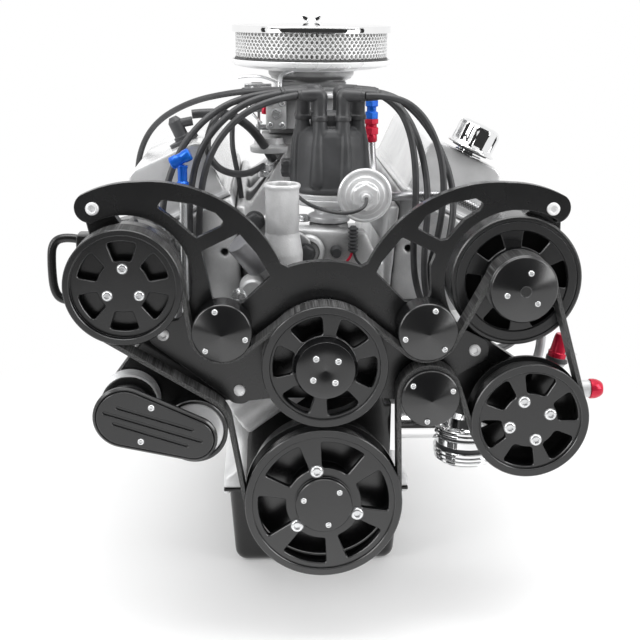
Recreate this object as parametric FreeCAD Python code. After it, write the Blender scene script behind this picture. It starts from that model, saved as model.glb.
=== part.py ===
"""A complete small-block V8 with a serpentine accessory drive, in millimetres.

Frame: the origin is the centre of the crankshaft's rear flange face. +Y runs
from the pulleys to the flywheel end, +X is to the right seen from the front,
and +Z is up. The crankshaft turns about the Y axis.
"""
import FreeCAD, Part

import math
import os

V = FreeCAD.Vector
Y_AXIS = V(0, 1, 0)
Z_AXIS = V(0, 0, 1)
X_AXIS = V(1, 0, 0)

# Driving sizes of the long block
BORE_R = 50.8
STROKE = 76.2
ROD_LENGTH = 129.0
PIN_TO_CROWN = 40.8
PISTON_SKIRT = 22.0
COUNTERWEIGHT_GAP = 4.9
BORE_SPACING = 111.25
BANK_STAGGER = 11.0
DECK_CLEARANCE = 0.1
DECK_HEIGHT = STROKE / 2 + ROD_LENGTH + PIN_TO_CROWN + DECK_CLEARANCE
BANK_ANGLE = 45.0
BLOCK_FRONT = -500.0
BLOCK_REAR = -14.0
FIRST_MAIN_Y = -470.0
MAIN_LENGTH = 27.0
MAIN_R = 28.6
CRANKPIN_R = 26.0
RUNNING_GAP = 0.05
SEAT_GAP = 0.3
PAN_RAIL_Z = -60.0
PAN_RAIL_HALF = 125.0
PAN_DEPTH = 186.0
CAM_HEIGHT = 117.0
CAM_JOURNAL_R = 26.0
CHAIN_PITCH = 9.525

# Driving sizes of the cylinder heads and covers
HEAD_LENGTH = 444.0
RAIL_TILT = 25.0
RAIL_OUT = 17.9218
RAIL_RISE = 161.6218
RAIL_CENTRE = (
    DECK_HEIGHT * math.sin(math.radians(BANK_ANGLE)) + RAIL_OUT,
    DECK_HEIGHT * math.cos(math.radians(BANK_ANGLE)) + RAIL_RISE,
)
RAIL_HALF = 60.0
COVER_HEIGHT = 80.0
COVER_TOP_HALF = 54.0
COVER_WALL = 4.0
COVER_LENGTH = 424.0

# Driving sizes of the front drive
PLATE_STANDOFF = 140.0
PLATE_THICK = 12.0
PLATE_FRONT = BLOCK_FRONT - PLATE_STANDOFF
PLATE_BACK = PLATE_FRONT + PLATE_THICK
WHEEL_GAP = 4.0
PULLEY_WIDTH = 36.0
PULLEY_FRONT = PLATE_FRONT - WHEEL_GAP - PULLEY_WIDTH
CRANK_NOSE_END = PLATE_FRONT
FLANGE_HEIGHT = 5.5
BELT_THICKNESS = 5.0
BELT_WIDTH = 28.0
BELT_GAP = 0.3
EAR_THICK = 20.0
BRACKET_THICK = 14.0
CRANK_PULLEY_R = 93.5
WATER_PULLEY_R = 72.8
AC_PULLEY_R = 66.5
ALT_PULLEY_R = 39.5
STEER_PULLEY_R = 69.7
IDLER_R = 33.0
TENSIONER_R = 38.0
WATER_AXIS = (0.0, 170.0)
AC_AXIS = (-227.0, 264.5)
ALT_AXIS = (224.0, 262.0)
STEER_AXIS = (241.2, 102.4)
IDLER_1 = (-117.3, 212.5)
IDLER_2 = (116.5, 212.5)
IDLER_3 = (122.3, 132.9)
TENSIONER_PIVOT = (-227.0, 120.0)
TENSIONER_WHEEL = (-150.0, 94.0)
WING_BOLT = (262.0, 347.0)
LOBE_LEFT = (-187.0, 199.0)
LOBE_RIGHT = (179.0, 178.0)
LOWER_BOLT = (99.0, 130.0)
BOLT_R = 5.0
STANDOFF_R = 12.0
ALT_CASE_R = 77.0
ALT_CASE_LENGTH = 84.0
AC_BODY_R = 56.0
AC_BODY_LENGTH = 128.0

# Driving sizes of the top of the engine
CARB_Y = -232.0
CARB_PAD_Z = 392.0
AIR_BASE_Z = 487.5
AIR_R = 114.5
AIR_HEIGHT = 50.0
DIST_AXIS = (16.0, -440.0)
DIST_R = 51.0
DIST_SKIRT_Z = 337.0
DIST_CAP_Z = 418.0
NECK_AXIS = (-47.0, -545.0)
NECK_R = 20.6
NECK_TOP_Z = 361.0
NECK_WALL = 3.0

PARTS = "parts"
os.makedirs(PARTS, exist_ok=True)


def save(name, *shapes):
    """Writes one node. Several solids in one node stay separate solids."""
    solids = [s for shape in shapes for s in shape.Solids]
    body = solids[0] if len(solids) == 1 else Part.makeCompound(solids)
    body.exportStep(os.path.join(PARTS, name + ".step"))
    print(f"{name:26s} solids {len(solids):3d} valid {body.isValid()} volume {body.Volume / 1000:9.1f} cm3")
    return body


def rod(radius, y0, y1, x=0.0, z=0.0):
    """A cylinder along Y from y0 to y1."""
    return Part.makeCylinder(radius, y1 - y0, V(x, y0, z), Y_AXIS)


def post(radius, z0, z1, x=0.0, y=0.0):
    """A cylinder along Z from z0 to z1."""
    return Part.makeCylinder(radius, z1 - z0, V(x, y, z0), Z_AXIS)


def box(x0, x1, y0, y1, z0, z1):
    return Part.makeBox(x1 - x0, y1 - y0, z1 - z0, V(x0, y0, z0))


def fuse(shapes):
    shapes = list(shapes)
    return shapes[0].multiFuse(shapes[1:]).removeSplitter() if len(shapes) > 1 else shapes[0]


def cut(shape, tools):
    return shape.cut(Part.makeCompound(list(tools)))


def slab(points, y0, y1):
    """A plate: a closed outline in X and Z, from y0 to y1."""
    loop = [V(x, y0, z) for x, z in points]
    wire = Part.makePolygon(loop + [loop[0]])
    return Part.Face(wire).extrude(V(0, y1 - y0, 0))


def turned_y(profile, x=0.0, z=0.0):
    """A solid of revolution about a line along Y, from (radius, y) points."""
    loop = [V(x + r, y, z) for r, y in profile]
    face = Part.Face(Part.makePolygon(loop + [loop[0]]))
    return face.revolve(V(x, 0, z), Y_AXIS, 360)


def turned_z(profile, x=0.0, y=0.0):
    """A solid of revolution about a line along Z, from (radius, z) points."""
    loop = [V(x + r, y, z) for r, z in profile]
    face = Part.Face(Part.makePolygon(loop + [loop[0]]))
    return face.revolve(V(x, y, 0), Z_AXIS, 360)


def polar(axis, radius, degrees):
    """A point on a circle in the XZ plane, from +X towards +Z."""
    angle = math.radians(degrees)
    return (axis[0] + radius * math.cos(angle), axis[1] + radius * math.sin(angle))


def bank(side, height, inboard):
    """A point of one cylinder bank: height along the bore, inboard across it."""
    angle = math.radians(BANK_ANGLE)
    x = height * math.sin(angle) - inboard * math.cos(angle)
    z = height * math.cos(angle) + inboard * math.sin(angle)
    return (side * x, z)


def bank_axis(side):
    angle = math.radians(BANK_ANGLE)
    return V(side * math.sin(angle), 0, math.cos(angle))


def rail(side, across, up):
    """A point over the valve cover rail: across it outwards, and up from it."""
    tilt = math.radians(RAIL_TILT)
    x = RAIL_CENTRE[0] + across * math.cos(tilt) + up * math.sin(tilt)
    z = RAIL_CENTRE[1] - across * math.sin(tilt) + up * math.cos(tilt)
    return (side * x, z)


def rail_normal(side):
    tilt = math.radians(RAIL_TILT)
    return V(side * math.sin(tilt), 0, math.cos(tilt))


def arc_wire(steps, y):
    """A closed outline from ('line', p) and ('arc', mid, p) steps, in XZ."""
    start = steps[0][-1]
    edges = []
    here = start
    for step in steps[1:]:
        there = step[-1]
        a = V(here[0], y, here[1])
        b = V(there[0], y, there[1])
        if step[0] == "line":
            edges.append(Part.LineSegment(a, b).toShape())
        else:
            mid = V(step[1][0], y, step[1][1])
            edges.append(Part.Arc(a, mid, b).toShape())
        here = there
    if math.dist(here, start) > 1e-6:
        edges.append(Part.LineSegment(V(here[0], y, here[1]), V(start[0], y, start[1])).toShape())
    return Part.Wire(edges)


def ring_window(axis, r_in, r_out, centre_deg, width_deg, y0, y1, corner=4.0):
    """A tool for one rounded window between two radii of a wheel."""
    low = centre_deg - width_deg / 2
    high = centre_deg + width_deg / 2
    wire = arc_wire(
        [
            ("start", polar(axis, r_in, low)),
            ("line", polar(axis, r_out, low)),
            ("arc", polar(axis, r_out, centre_deg), polar(axis, r_out, high)),
            ("line", polar(axis, r_in, high)),
            ("arc", polar(axis, r_in, centre_deg), polar(axis, r_in, low)),
        ],
        y0,
    )
    tool = Part.Face(wire).extrude(V(0, y1 - y0, 0))
    along = [e for e in tool.Edges if abs(e.tangentAt(e.FirstParameter).y) > 0.99]
    return tool.makeFillet(corner, along)


# Where each throw, cylinder and bearing stands along the crankshaft
MAINS_Y = [FIRST_MAIN_Y + BORE_SPACING * i for i in range(5)]
THROWS_Y = [y + BORE_SPACING / 2 for y in MAINS_Y[:4]]
THROW_DEG = [135.0, 45.0, -135.0, -45.0]
CRANK_R = STROKE / 2
COUNTERWEIGHT_R = ROD_LENGTH - CRANK_R - PISTON_SKIRT - COUNTERWEIGHT_GAP
CYLINDERS = []
for number, throw in enumerate(THROWS_Y):
    CYLINDERS.append((number + 1, -1, throw - BANK_STAGGER, number))
for number, throw in enumerate(THROWS_Y):
    CYLINDERS.append((number + 5, 1, throw + BANK_STAGGER, number))


def pin_height(side, throw_index):
    """How far the wrist pin stands from the crank axis at rest."""
    bore_deg = 90.0 - side * BANK_ANGLE
    swing = math.radians(THROW_DEG[throw_index] - bore_deg)
    across = CRANK_R * math.sin(swing)
    return CRANK_R * math.cos(swing) + math.sqrt(ROD_LENGTH ** 2 - across ** 2)


# Engine block: a V casting with open bores, crankcase bays and a cam tunnel
DECK_OUT = -72.0
DECK_IN = 70.0
VALLEY_DEPTH = 24.5757
VALLEY_Z = bank(1, DECK_HEIGHT, DECK_IN)[1] - VALLEY_DEPTH


def engine_block():
    right = [
        (PAN_RAIL_HALF, PAN_RAIL_Z),
        (PAN_RAIL_HALF, PAN_RAIL_Z + 14),
        (104, -28),
        (104, 10),
        bank(1, 96, DECK_OUT + 8),
        bank(1, DECK_HEIGHT - 32, DECK_OUT + 8),
        bank(1, DECK_HEIGHT - 18, DECK_OUT),
        bank(1, DECK_HEIGHT, DECK_OUT),
        bank(1, DECK_HEIGHT, DECK_IN),
        (72, VALLEY_Z),
    ]
    outline = right + [(-x, z) for x, z in reversed(right)]
    body = slab(outline, BLOCK_FRONT, BLOCK_REAR)
    tools = []
    for _, side, y, _ in CYLINDERS:
        foot = bank(side, 58, 0)
        tools.append(
            Part.makeCylinder(BORE_R + RUNNING_GAP, DECK_HEIGHT, V(foot[0], y, foot[1]), bank_axis(side))
        )
    for throw in THROWS_Y:
        half = (BORE_SPACING - MAIN_LENGTH) / 2
        tools.append(rod(72, throw - half, throw + half))
        tools.append(box(-86, 86, throw - half, throw + half, PAN_RAIL_Z - 1, 10))
    tools.append(rod(MAIN_R + RUNNING_GAP, BLOCK_FRONT - 1, BLOCK_REAR + 1))
    tools.append(rod(CAM_JOURNAL_R + RUNNING_GAP, BLOCK_FRONT - 1, BLOCK_REAR - 4, 0, CAM_HEIGHT))
    for main in MAINS_Y:
        tools.append(box(-CAP_HALF, CAP_HALF, main - MAIN_LENGTH / 2, main + MAIN_LENGTH / 2,
            PAN_RAIL_Z - 1, 0))
    tools.append(post(DIST_SHAFT_R + 6, CAM_HEIGHT, VALLEY_Z + 1, DIST_AXIS[0], DIST_AXIS[1]))
    tools.append(post(DIST_GEAR_R + 2, CAM_HEIGHT - 14, CAM_HEIGHT + 1, DIST_AXIS[0], DIST_AXIS[1]))
    body = cut(body, tools)
    # Flared flywheel-end face, side bosses for the engine mounts and core plugs
    flare = [(-150, -50), (150, -50), (150, 60), (110, 128), (-110, 128), (-150, 60)]
    rear = slab(flare, BLOCK_REAR - 12, BLOCK_REAR)
    keep = slab([bank(-1, 300, -61), bank(-1, 0, -61), (0, -59), bank(1, 0, -61), bank(1, 300, -61),
        (0, 400)],
                BLOCK_REAR - 13, BLOCK_REAR + 1)
    rear = rear.cut(rod(MAIN_R + 20, BLOCK_REAR - 13, BLOCK_REAR + 1)).cut(keep)
    rear = rear.cut(box(-CAP_HALF, CAP_HALF, BLOCK_REAR - 13, BLOCK_REAR + 1, PAN_RAIL_Z - 1, 0))
    bosses = []
    holes = []
    for side in (-1, 1):
        for y in (MOUNT_Y - MOUNT_SPACING / 2, MOUNT_Y + MOUNT_SPACING / 2):
            x0 = 100 if side > 0 else -MOUNT_FACE_X
            bosses.append(Part.makeCylinder(15, MOUNT_FACE_X - 100, V(x0, y, MOUNT_Z), X_AXIS))
            x1 = MOUNT_FACE_X - 22 if side > 0 else -MOUNT_FACE_X - 1
            holes.append(Part.makeCylinder(MOUNT_HOLE_R, 23, V(x1, y, MOUNT_Z), X_AXIS))
        for y in THROWS_Y[1:3]:
            spot = bank(side, 132, DECK_OUT + 14)
            outward = V(side * math.cos(math.radians(45)), 0, -math.sin(math.radians(45)))
            bosses.append(Part.makeCylinder(19, 11, V(spot[0], y, spot[1]), outward))
    body = fuse([body, rear] + bosses)
    return cut(body, holes)


CAP_HALF = 62.0
MOUNT_Y = -330.0
MOUNT_Z = 2.0
MOUNT_SPACING = 64.0
MOUNT_FACE_X = 122.0
MOUNT_HOLE_R = 5.5
DIST_SHAFT_R = 6.4
DIST_GEAR_R = 7.4


def main_caps():
    """Five bearing caps, each with its bore half and two bolts fused in."""
    caps = []
    for main in MAINS_Y:
        y0 = main - MAIN_LENGTH / 2 + SEAT_GAP
        y1 = min(main + MAIN_LENGTH / 2 - SEAT_GAP, BLOCK_REAR)
        half = CAP_HALF - RUNNING_GAP
        cap = box(-half, half, y0, y1, PAN_RAIL_Z + 4, 0)
        cap = cap.cut(rod(MAIN_R + RUNNING_GAP, y0 - 1, y1 + 1))
        bolts = [post(8, PAN_RAIL_Z + 0.4, PAN_RAIL_Z + 5, x, (y0 + y1) / 2) for x in (-46, 46)]
        caps.append(fuse([cap] + bolts))
    return caps


def crankshaft():
    """Cross-plane shaft: mains, pins, cheeks with counterweights, rear flange."""
    pieces = [rod(MAIN_R, FIRST_MAIN_Y - MAIN_LENGTH / 2, MAINS_Y[4] + MAIN_LENGTH / 2)]
    cheek = 15.0
    for throw, angle in zip(THROWS_Y, THROW_DEG):
        half_bay = (BORE_SPACING - MAIN_LENGTH) / 2
        pin = polar((0, 0), CRANK_R, angle)
        gap = box(-70, 70, throw - half_bay + cheek, throw + half_bay - cheek, -70, 70)
        pieces[0] = pieces[0].cut(gap)
        pieces.append(rod(CRANKPIN_R, throw - half_bay + 1, throw + half_bay - 1, pin[0], pin[1]))
        for y0 in (throw - half_bay + 1, throw + half_bay - cheek - 1):
            weight = counterweight(angle + 180, COUNTERWEIGHT_R, 130, y0, y0 + cheek)
            pieces.append(
                fuse([rod(CRANKPIN_R, y0, y0 + cheek, pin[0], pin[1]), rod(36, y0, y0 + cheek), weight])
            )
    pieces.append(rod(40, MAINS_Y[4] + MAIN_LENGTH / 2 - 0.5, -10))
    pieces.append(rod(FLANGE_R, -10, 0))
    pieces.append(rod(SNOUT_R, CRANK_NOSE_END, FIRST_MAIN_Y))
    shaft = fuse(pieces)
    holes = [
        rod(FLANGE_HOLE_R, -22, 1, *polar((0, 0), FLANGE_PCD / 2, 60 * i + 15)) for i in range(6)
    ]
    holes.append(rod(17.5, -20, 1))
    shaft = cut(shaft, holes)
    gear = sprocket(18, BLOCK_FRONT - 22, BLOCK_FRONT - 10, (0.0, 0.0), SNOUT_R)
    return [shaft, gear]


FLANGE_R = 49.0
FLANGE_PCD = 76.2
FLANGE_HOLE_R = 5.6
SNOUT_R = 17.4


def counterweight(centre_deg, radius, width_deg, y0, y1):
    low = centre_deg - width_deg / 2
    high = centre_deg + width_deg / 2
    wire = arc_wire(
        [
            ("start", (0.0, 0.0)),
            ("line", polar((0, 0), radius, low)),
            ("arc", polar((0, 0), radius, centre_deg), polar((0, 0), radius, high)),
        ],
        y0,
    )
    return Part.Face(wire).extrude(V(0, y1 - y0, 0))


def sprocket_radius(teeth):
    return CHAIN_PITCH / (2 * math.sin(math.pi / teeth))


def sprocket(teeth, y0, y1, axis, bore):
    """A roller-chain wheel whose teeth are trapezoids on the pitch circle."""
    pitch_r = sprocket_radius(teeth)
    step = 360.0 / teeth
    points = []
    for i in range(teeth):
        for part, radius in ((-0.34, pitch_r - 2.6), (-0.13, pitch_r + 2.2), (0.13, pitch_r + 2.2),
            (0.34, pitch_r - 2.6)):
            points.append(polar(axis, radius, step * (i + part)))
    return slab(points, y0, y1).cut(rod(bore, y0 - 1, y1 + 1, axis[0], axis[1]))


def piston(number, side, y, throw_index):
    """A piston with ring lands, a hollow skirt and its wrist pin."""
    pin = pin_height(side, throw_index)
    crown = pin + PIN_TO_CROWN
    foot = pin - PISTON_SKIRT
    outer = BORE_R
    land = BORE_R - 0.6
    wall = 7.0
    grooves = []
    profile = [(0.0, crown), (outer, crown)]
    for depth in (6.0, 12.5, 19.0):
        grooves += [(outer, crown - depth), (land, crown - depth), (land, crown - depth - 1.6),
            (outer, crown - depth - 1.6)]
    profile += grooves
    profile += [(outer, foot), (outer - wall, foot), (outer - wall, crown - 26), (0.0, crown - 20)]
    body = turned_z(profile)
    bosses = Part.makeCylinder(15, outer * 2 - 10, V(0, -outer + 5, pin), Y_AXIS)
    bosses = bosses.common(post(outer - wall + 0.5, foot, crown))
    relief = box(-60, 60, -16, 16, foot - 1, crown - 26)
    body = fuse([body, bosses.cut(relief)])
    wrist = Part.makeCylinder(10.4, outer * 2 - 24, V(0, -outer + 12, pin), Y_AXIS)
    body = body.cut(wrist)
    pin_solid = Part.makeCylinder(10.4, outer * 2 - 25, V(0, -outer + 12.5, pin), Y_AXIS)
    placed = []
    for shape in (body, pin_solid):
        shape.rotate(V(0, 0, 0), Y_AXIS, side * BANK_ANGLE)
        shape.translate(V(0, y, 0))
        placed.append(shape)
    return placed


def camshaft():
    """Journals, sixteen lobes, the distributor drive gear and the sprocket."""
    core = rod(CAM_CORE_R, BLOCK_FRONT - 10, BLOCK_REAR - 14, 0, CAM_HEIGHT)
    pieces = [core]
    for main in MAINS_Y:
        pieces.append(rod(CAM_JOURNAL_R, main - 10, min(main + 10, BLOCK_REAR - 5), 0, CAM_HEIGHT))
    for i, (_, side, y, _) in enumerate(sorted(CYLINDERS, key=lambda c: c[2])):
        for j, shift in enumerate((-20, 20)):
            centre = polar((0, CAM_HEIGHT), 6, 137 * i + 100 * j)
            y0 = y + shift - 4
            if abs(y + shift - DIST_AXIS[1]) < 12:
                y0 = DIST_AXIS[1] - 16.5
            if min(abs(y0 + 4 - m) for m in MAINS_Y) > 13:
                pieces.append(rod(16, y0, y0 + 8, centre[0], centre[1]))
    shaft = fuse(pieces)
    wheel = sprocket(36, BLOCK_FRONT - 22, BLOCK_FRONT - 10, (0.0, CAM_HEIGHT), CAM_CORE_R)
    wheel = cut(wheel, [ring_window((0.0, CAM_HEIGHT), 22, 42, 60 * i, 34, BLOCK_FRONT - 30, BLOCK_FRONT)
        for i in range(6)])
    nose = rod(CAM_CORE_R, BLOCK_FRONT - 26, BLOCK_FRONT - 10, 0, CAM_HEIGHT)
    return [fuse([shaft, nose]), wheel]


CAM_CORE_R = 8.0


def loop_path(stops):
    """Tangent points of a belt round (x, z, radius, turn) wheels. Turn is +1
    for a wheel inside the loop and -1 for one outside it."""
    runs = []
    for i, (x0, z0, r0, s0) in enumerate(stops):
        x1, z1, r1, s1 = stops[(i + 1) % len(stops)]
        dx = x1 - x0
        dz = z1 - z0
        length = math.hypot(dx, dz)
        lean = math.asin((s0 * r0 - s1 * r1) / length)
        heading = math.atan2(dz, dx) + lean * -1
        normal = (-math.sin(heading), math.cos(heading))
        runs.append(
            (
                (x0 + s0 * r0 * normal[0], z0 + s0 * r0 * normal[1]),
                (x1 + s1 * r1 * normal[0], z1 + s1 * r1 * normal[1]),
            )
        )
    return runs


def loop_face(stops, y):
    runs = loop_path(stops)
    steps = [("start", runs[0][0])]
    for i, (leave, arrive) in enumerate(runs):
        steps.append(("line", arrive))
        x, z, radius, turn = stops[(i + 1) % len(stops)]
        following = runs[(i + 1) % len(runs)][0]
        a0 = math.atan2(arrive[1] - z, arrive[0] - x)
        a1 = math.atan2(following[1] - z, following[0] - x)
        sweep = (a0 - a1) % (2 * math.pi) if turn > 0 else (a1 - a0) % (2 * math.pi)
        mid = a0 - turn * sweep / 2
        steps.append(("arc", (x + radius * math.cos(mid), z + radius * math.sin(mid)), following))
    return Part.Face(arc_wire(steps, y))


def belt(wheels, inner_gap, thickness, y0, y1):
    """A band round its wheels: ribs face the wheels whose turn is +1."""
    near = []
    far = []
    for x, z, radius, turn in wheels:
        close = radius + inner_gap
        away = close + thickness
        near.append((x, z, close if turn > 0 else away, turn))
        far.append((x, z, away if turn > 0 else close, turn))
    band = loop_face(far, y0).cut(loop_face(near, y0))
    return band.extrude(V(0, y1 - y0, 0))


BELT_WHEELS = [
    (0.0, 0.0, CRANK_PULLEY_R - FLANGE_HEIGHT, 1),
    (*TENSIONER_WHEEL, TENSIONER_R, -1),
    (*AC_AXIS, AC_PULLEY_R - FLANGE_HEIGHT, 1),
    (*IDLER_1, IDLER_R, -1),
    (*WATER_AXIS, WATER_PULLEY_R - FLANGE_HEIGHT, 1),
    (*IDLER_2, IDLER_R, -1),
    (*ALT_AXIS, ALT_PULLEY_R - FLANGE_HEIGHT, 1),
    (*STEER_AXIS, STEER_PULLEY_R - FLANGE_HEIGHT, 1),
    (*IDLER_3, IDLER_R, -1),
]


def ribbed_pulley(axis, radius, hub_r, bore, window_in, window_out, window_deg, phase, web_start=8.0,
    cap=None, rim=12.0):
    """A billet wheel: flanged rim, recessed web with windows, hub and nose cap."""
    f = PULLEY_FRONT
    w = PULLEY_WIDTH
    groove = radius - FLANGE_HEIGHT
    rim_in = radius - rim
    web_end = web_start + 9.0
    profile = [
        (bore, f + web_start),
        (rim_in - web_start / 5, f + web_start),
        (rim_in, f),
        (radius - 1, f),
        (radius, f + 1),
        (radius, f + 2.5),
        (groove, f + 4),
        (groove, f + w - 4),
        (radius, f + w - 2.5),
        (radius, f + w),
        (groove - 3, f + w),
        (groove - 3, f + web_end),
        (hub_r, f + web_end),
        (hub_r, f + w),
        (bore, f + w),
    ]
    wheel = turned_y(profile, *axis)
    if window_in:
        tools = [
            ring_window(axis, window_in, window_out, phase + 60 * i, window_deg, f, f + web_end + 2)
            for i in range(6)
        ]
        wheel = cut(wheel, tools)
    solids = [wheel]
    if cap:
        cap_r, cap_front, shoulder = cap
        nose = turned_y(
            [
                (0.0, f + web_start),
                (cap_r, f + web_start),
                (cap_r, cap_front + 3),
                (cap_r - shoulder, cap_front + 0.8),
                (0.0, cap_front - 2.5),
            ],
            *axis,
        )
        solids.append(nose)
    return solids


def idler(axis):
    """A smooth wheel on a bearing bore, closed in front by a conical cap."""
    f = PULLEY_FRONT
    body = turned_y(
        [
            (IDLER_BORE, f + 6),
            (IDLER_R - 8, f + 6),
            (IDLER_R - 8, f + 3.2),
            (IDLER_R, f + 3.2),
            (IDLER_R, f + PULLEY_WIDTH - 2),
            (IDLER_BORE, f + PULLEY_WIDTH - 2),
        ],
        *axis,
    )
    cap = turned_y(
        [
            (0.0, f + 3),
            (IDLER_CAP_R, f + 3),
            (IDLER_CAP_R, f - 2),
            (IDLER_CAP_R - 2, f - 4.5),
            (0.0, f - 13),
        ],
        *axis,
    )
    return [body, cap]


IDLER_BORE = 8.05
IDLER_CAP_R = 34.0


def bracket_plate():
    """The black butterfly plate that carries every accessory."""
    lobe = 17.0
    left = AC_AXIS
    right = ALT_AXIS
    ac_r = 75.0
    alt_r = 84.0
    top_r = (213.0, 377.0)
    steps = [
        ("start", (0.0, 286.0)),
        ("arc", (24.0, 284.0), (42.0, 279.0)),
        ("line", (50.0, 283.0)),
        ("arc", (112.0, 353.0), top_r),
        ("arc", (249.0, 372.0), polar(WING_BOLT, 20, 45)),
        ("arc", polar(WING_BOLT, 20, -15), polar(WING_BOLT, 17, -75)),
        ("line", polar(right, alt_r, 58)),
        ("arc", polar(right, alt_r, 140), polar(right, alt_r, 222)),
        ("line", polar(LOBE_RIGHT, lobe, 60)),
        ("arc", polar(LOBE_RIGHT, lobe, 0), polar(LOBE_RIGHT, lobe, -65)),
        ("line", polar(LOWER_BOLT, lobe, -60)),
        ("arc", polar(LOWER_BOLT, lobe, -90), polar(LOWER_BOLT, lobe, -130)),
        ("line", (60.0, 120.0)),
        ("line", (-60.0, 120.0)),
        ("line", polar((-LOWER_BOLT[0], LOWER_BOLT[1]), lobe, -50)),
        ("arc", polar((-LOWER_BOLT[0], LOWER_BOLT[1]), lobe, -90),
        polar((-LOWER_BOLT[0], LOWER_BOLT[1]), lobe, -125)),
        ("line", polar(LOBE_LEFT, lobe, -120)),
        ("arc", polar(LOBE_LEFT, lobe, 180), polar(LOBE_LEFT, lobe, 120)),
        ("line", polar(left, ac_r, -40)),
        ("arc", polar(left, ac_r, 40), polar(left, ac_r, 120)),
        ("line", polar((-WING_BOLT[0], WING_BOLT[1]), 17, -105)),
        ("arc", polar((-WING_BOLT[0], WING_BOLT[1]), 20, 195), polar((-WING_BOLT[0], WING_BOLT[1]), 20, 135)),
        ("arc", (-249.0, 372.0), (-213.0, 377.0)),
        ("arc", (-112.0, 353.0), (-50.0, 283.0)),
        ("line", (-42.0, 279.0)),
        ("arc", (-24.0, 284.0), (0.0, 286.0)),
    ]
    plate = Part.Face(arc_wire(steps, PLATE_FRONT)).extrude(V(0, PLATE_THICK, 0))
    uppers = [
        [(106, 324), (116, 339), (142, 353), (172, 359), (182, 353), (177, 345), (160, 334), (141, 311),
        (133, 310)],
        [(-190, 349), (-184, 357), (-149, 352), (-124, 342), (-115, 332), (-119, 326), (-146, 313),
        (-153, 318), (-169, 333)],
    ]
    lowers = [
        [(60, 272), (66, 285), (89, 314), (129, 295), (123, 280), (125, 249), (121, 238), (94, 238)],
        [(-62, 268), (-78, 295), (-98, 319), (-141, 298), (-137, 282), (-129, 241), (-122, 237), (-94, 237)],
    ]
    tools = []
    for outline in uppers + lowers:
        hole = slab(outline, PLATE_FRONT - 1, PLATE_FRONT + PLATE_THICK + 1)
        along = [e for e in hole.Edges if abs(e.tangentAt(e.FirstParameter).y) > 0.99]
        tools.append(hole.makeFillet(3.0, along))
    bolt_spots = [WING_BOLT, (-WING_BOLT[0], WING_BOLT[1]), LOBE_LEFT, LOBE_RIGHT, LOWER_BOLT,
                  (-LOWER_BOLT[0], LOWER_BOLT[1]), IDLER_1, IDLER_2, IDLER_3]
    for spot in bolt_spots:
        tools.append(rod(BOLT_R, PLATE_FRONT - 1, PLATE_FRONT + PLATE_THICK + 1, *spot))
    tools.append(rod(NOSE_R + SEAT_GAP, PLATE_FRONT - 1, PLATE_FRONT + PLATE_THICK + 1, *WATER_AXIS))
    return cut(plate, tools)


NOSE_R = 30.0

def head_front(side):
    """Each head is centred on its own bank's four bores."""
    return sum(THROWS_Y) / len(THROWS_Y) + side * BANK_STAGGER - HEAD_LENGTH / 2


def bracket_bolts():
    """Button heads and shanks through the plate, and the three idler posts."""
    bolts = []
    shank = BOLT_R
    for spot, end in (
        (WING_BOLT, PLATE_BACK + EAR_THICK),
        ((-WING_BOLT[0], WING_BOLT[1]), PLATE_BACK + EAR_THICK),
        (LOBE_LEFT, PLATE_BACK + BRACKET_THICK + EAR_THICK),
        (LOBE_RIGHT, PLATE_BACK + BRACKET_THICK + EAR_THICK),
        (LOWER_BOLT, PLATE_BACK + BRACKET_THICK),
        ((-LOWER_BOLT[0], LOWER_BOLT[1]), PLATE_BACK + BRACKET_THICK),
    ):
        bolts.append(
            turned_y(
                [(0.0, PLATE_FRONT - 4), (6.0, PLATE_FRONT - 4), (8.0, PLATE_FRONT - 2), (8.0, PLATE_FRONT),
                 (shank, PLATE_FRONT), (shank, end), (0.0, end)],
                *spot,
            )
        )
    return bolts


def idler_posts():
    posts = []
    for spot in (IDLER_1, IDLER_2, IDLER_3):
        posts.append(
            turned_y(
                [(0.0, PULLEY_FRONT + 7), (IDLER_BORE - RUNNING_GAP, PULLEY_FRONT + 7),
                 (IDLER_BORE - RUNNING_GAP, PULLEY_FRONT + PULLEY_WIDTH - 2 + SEAT_GAP),
                 (13.0, PULLEY_FRONT + PULLEY_WIDTH - 2 + SEAT_GAP), (13.0, PLATE_FRONT),
                 (BOLT_R, PLATE_FRONT),
                 (BOLT_R, PLATE_BACK), (0.0, PLATE_BACK)],
                *spot,
            )
        )
    return posts


def standoffs():
    """Tubular spacers between the plate's pieces and the block and heads."""
    spacers = []
    for spot, y0, y1 in (
        (LOBE_LEFT, PLATE_BACK + BRACKET_THICK + EAR_THICK, head_front(-1)),
        (LOBE_RIGHT, PLATE_BACK + BRACKET_THICK + EAR_THICK, head_front(1)),
        (LOWER_BOLT, PLATE_BACK + BRACKET_THICK, BLOCK_FRONT),
        ((-LOWER_BOLT[0], LOWER_BOLT[1]), PLATE_BACK + BRACKET_THICK, BLOCK_FRONT),
    ):
        spacers.append(rod(STANDOFF_R, y0, y1, *spot))
    return spacers


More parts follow.
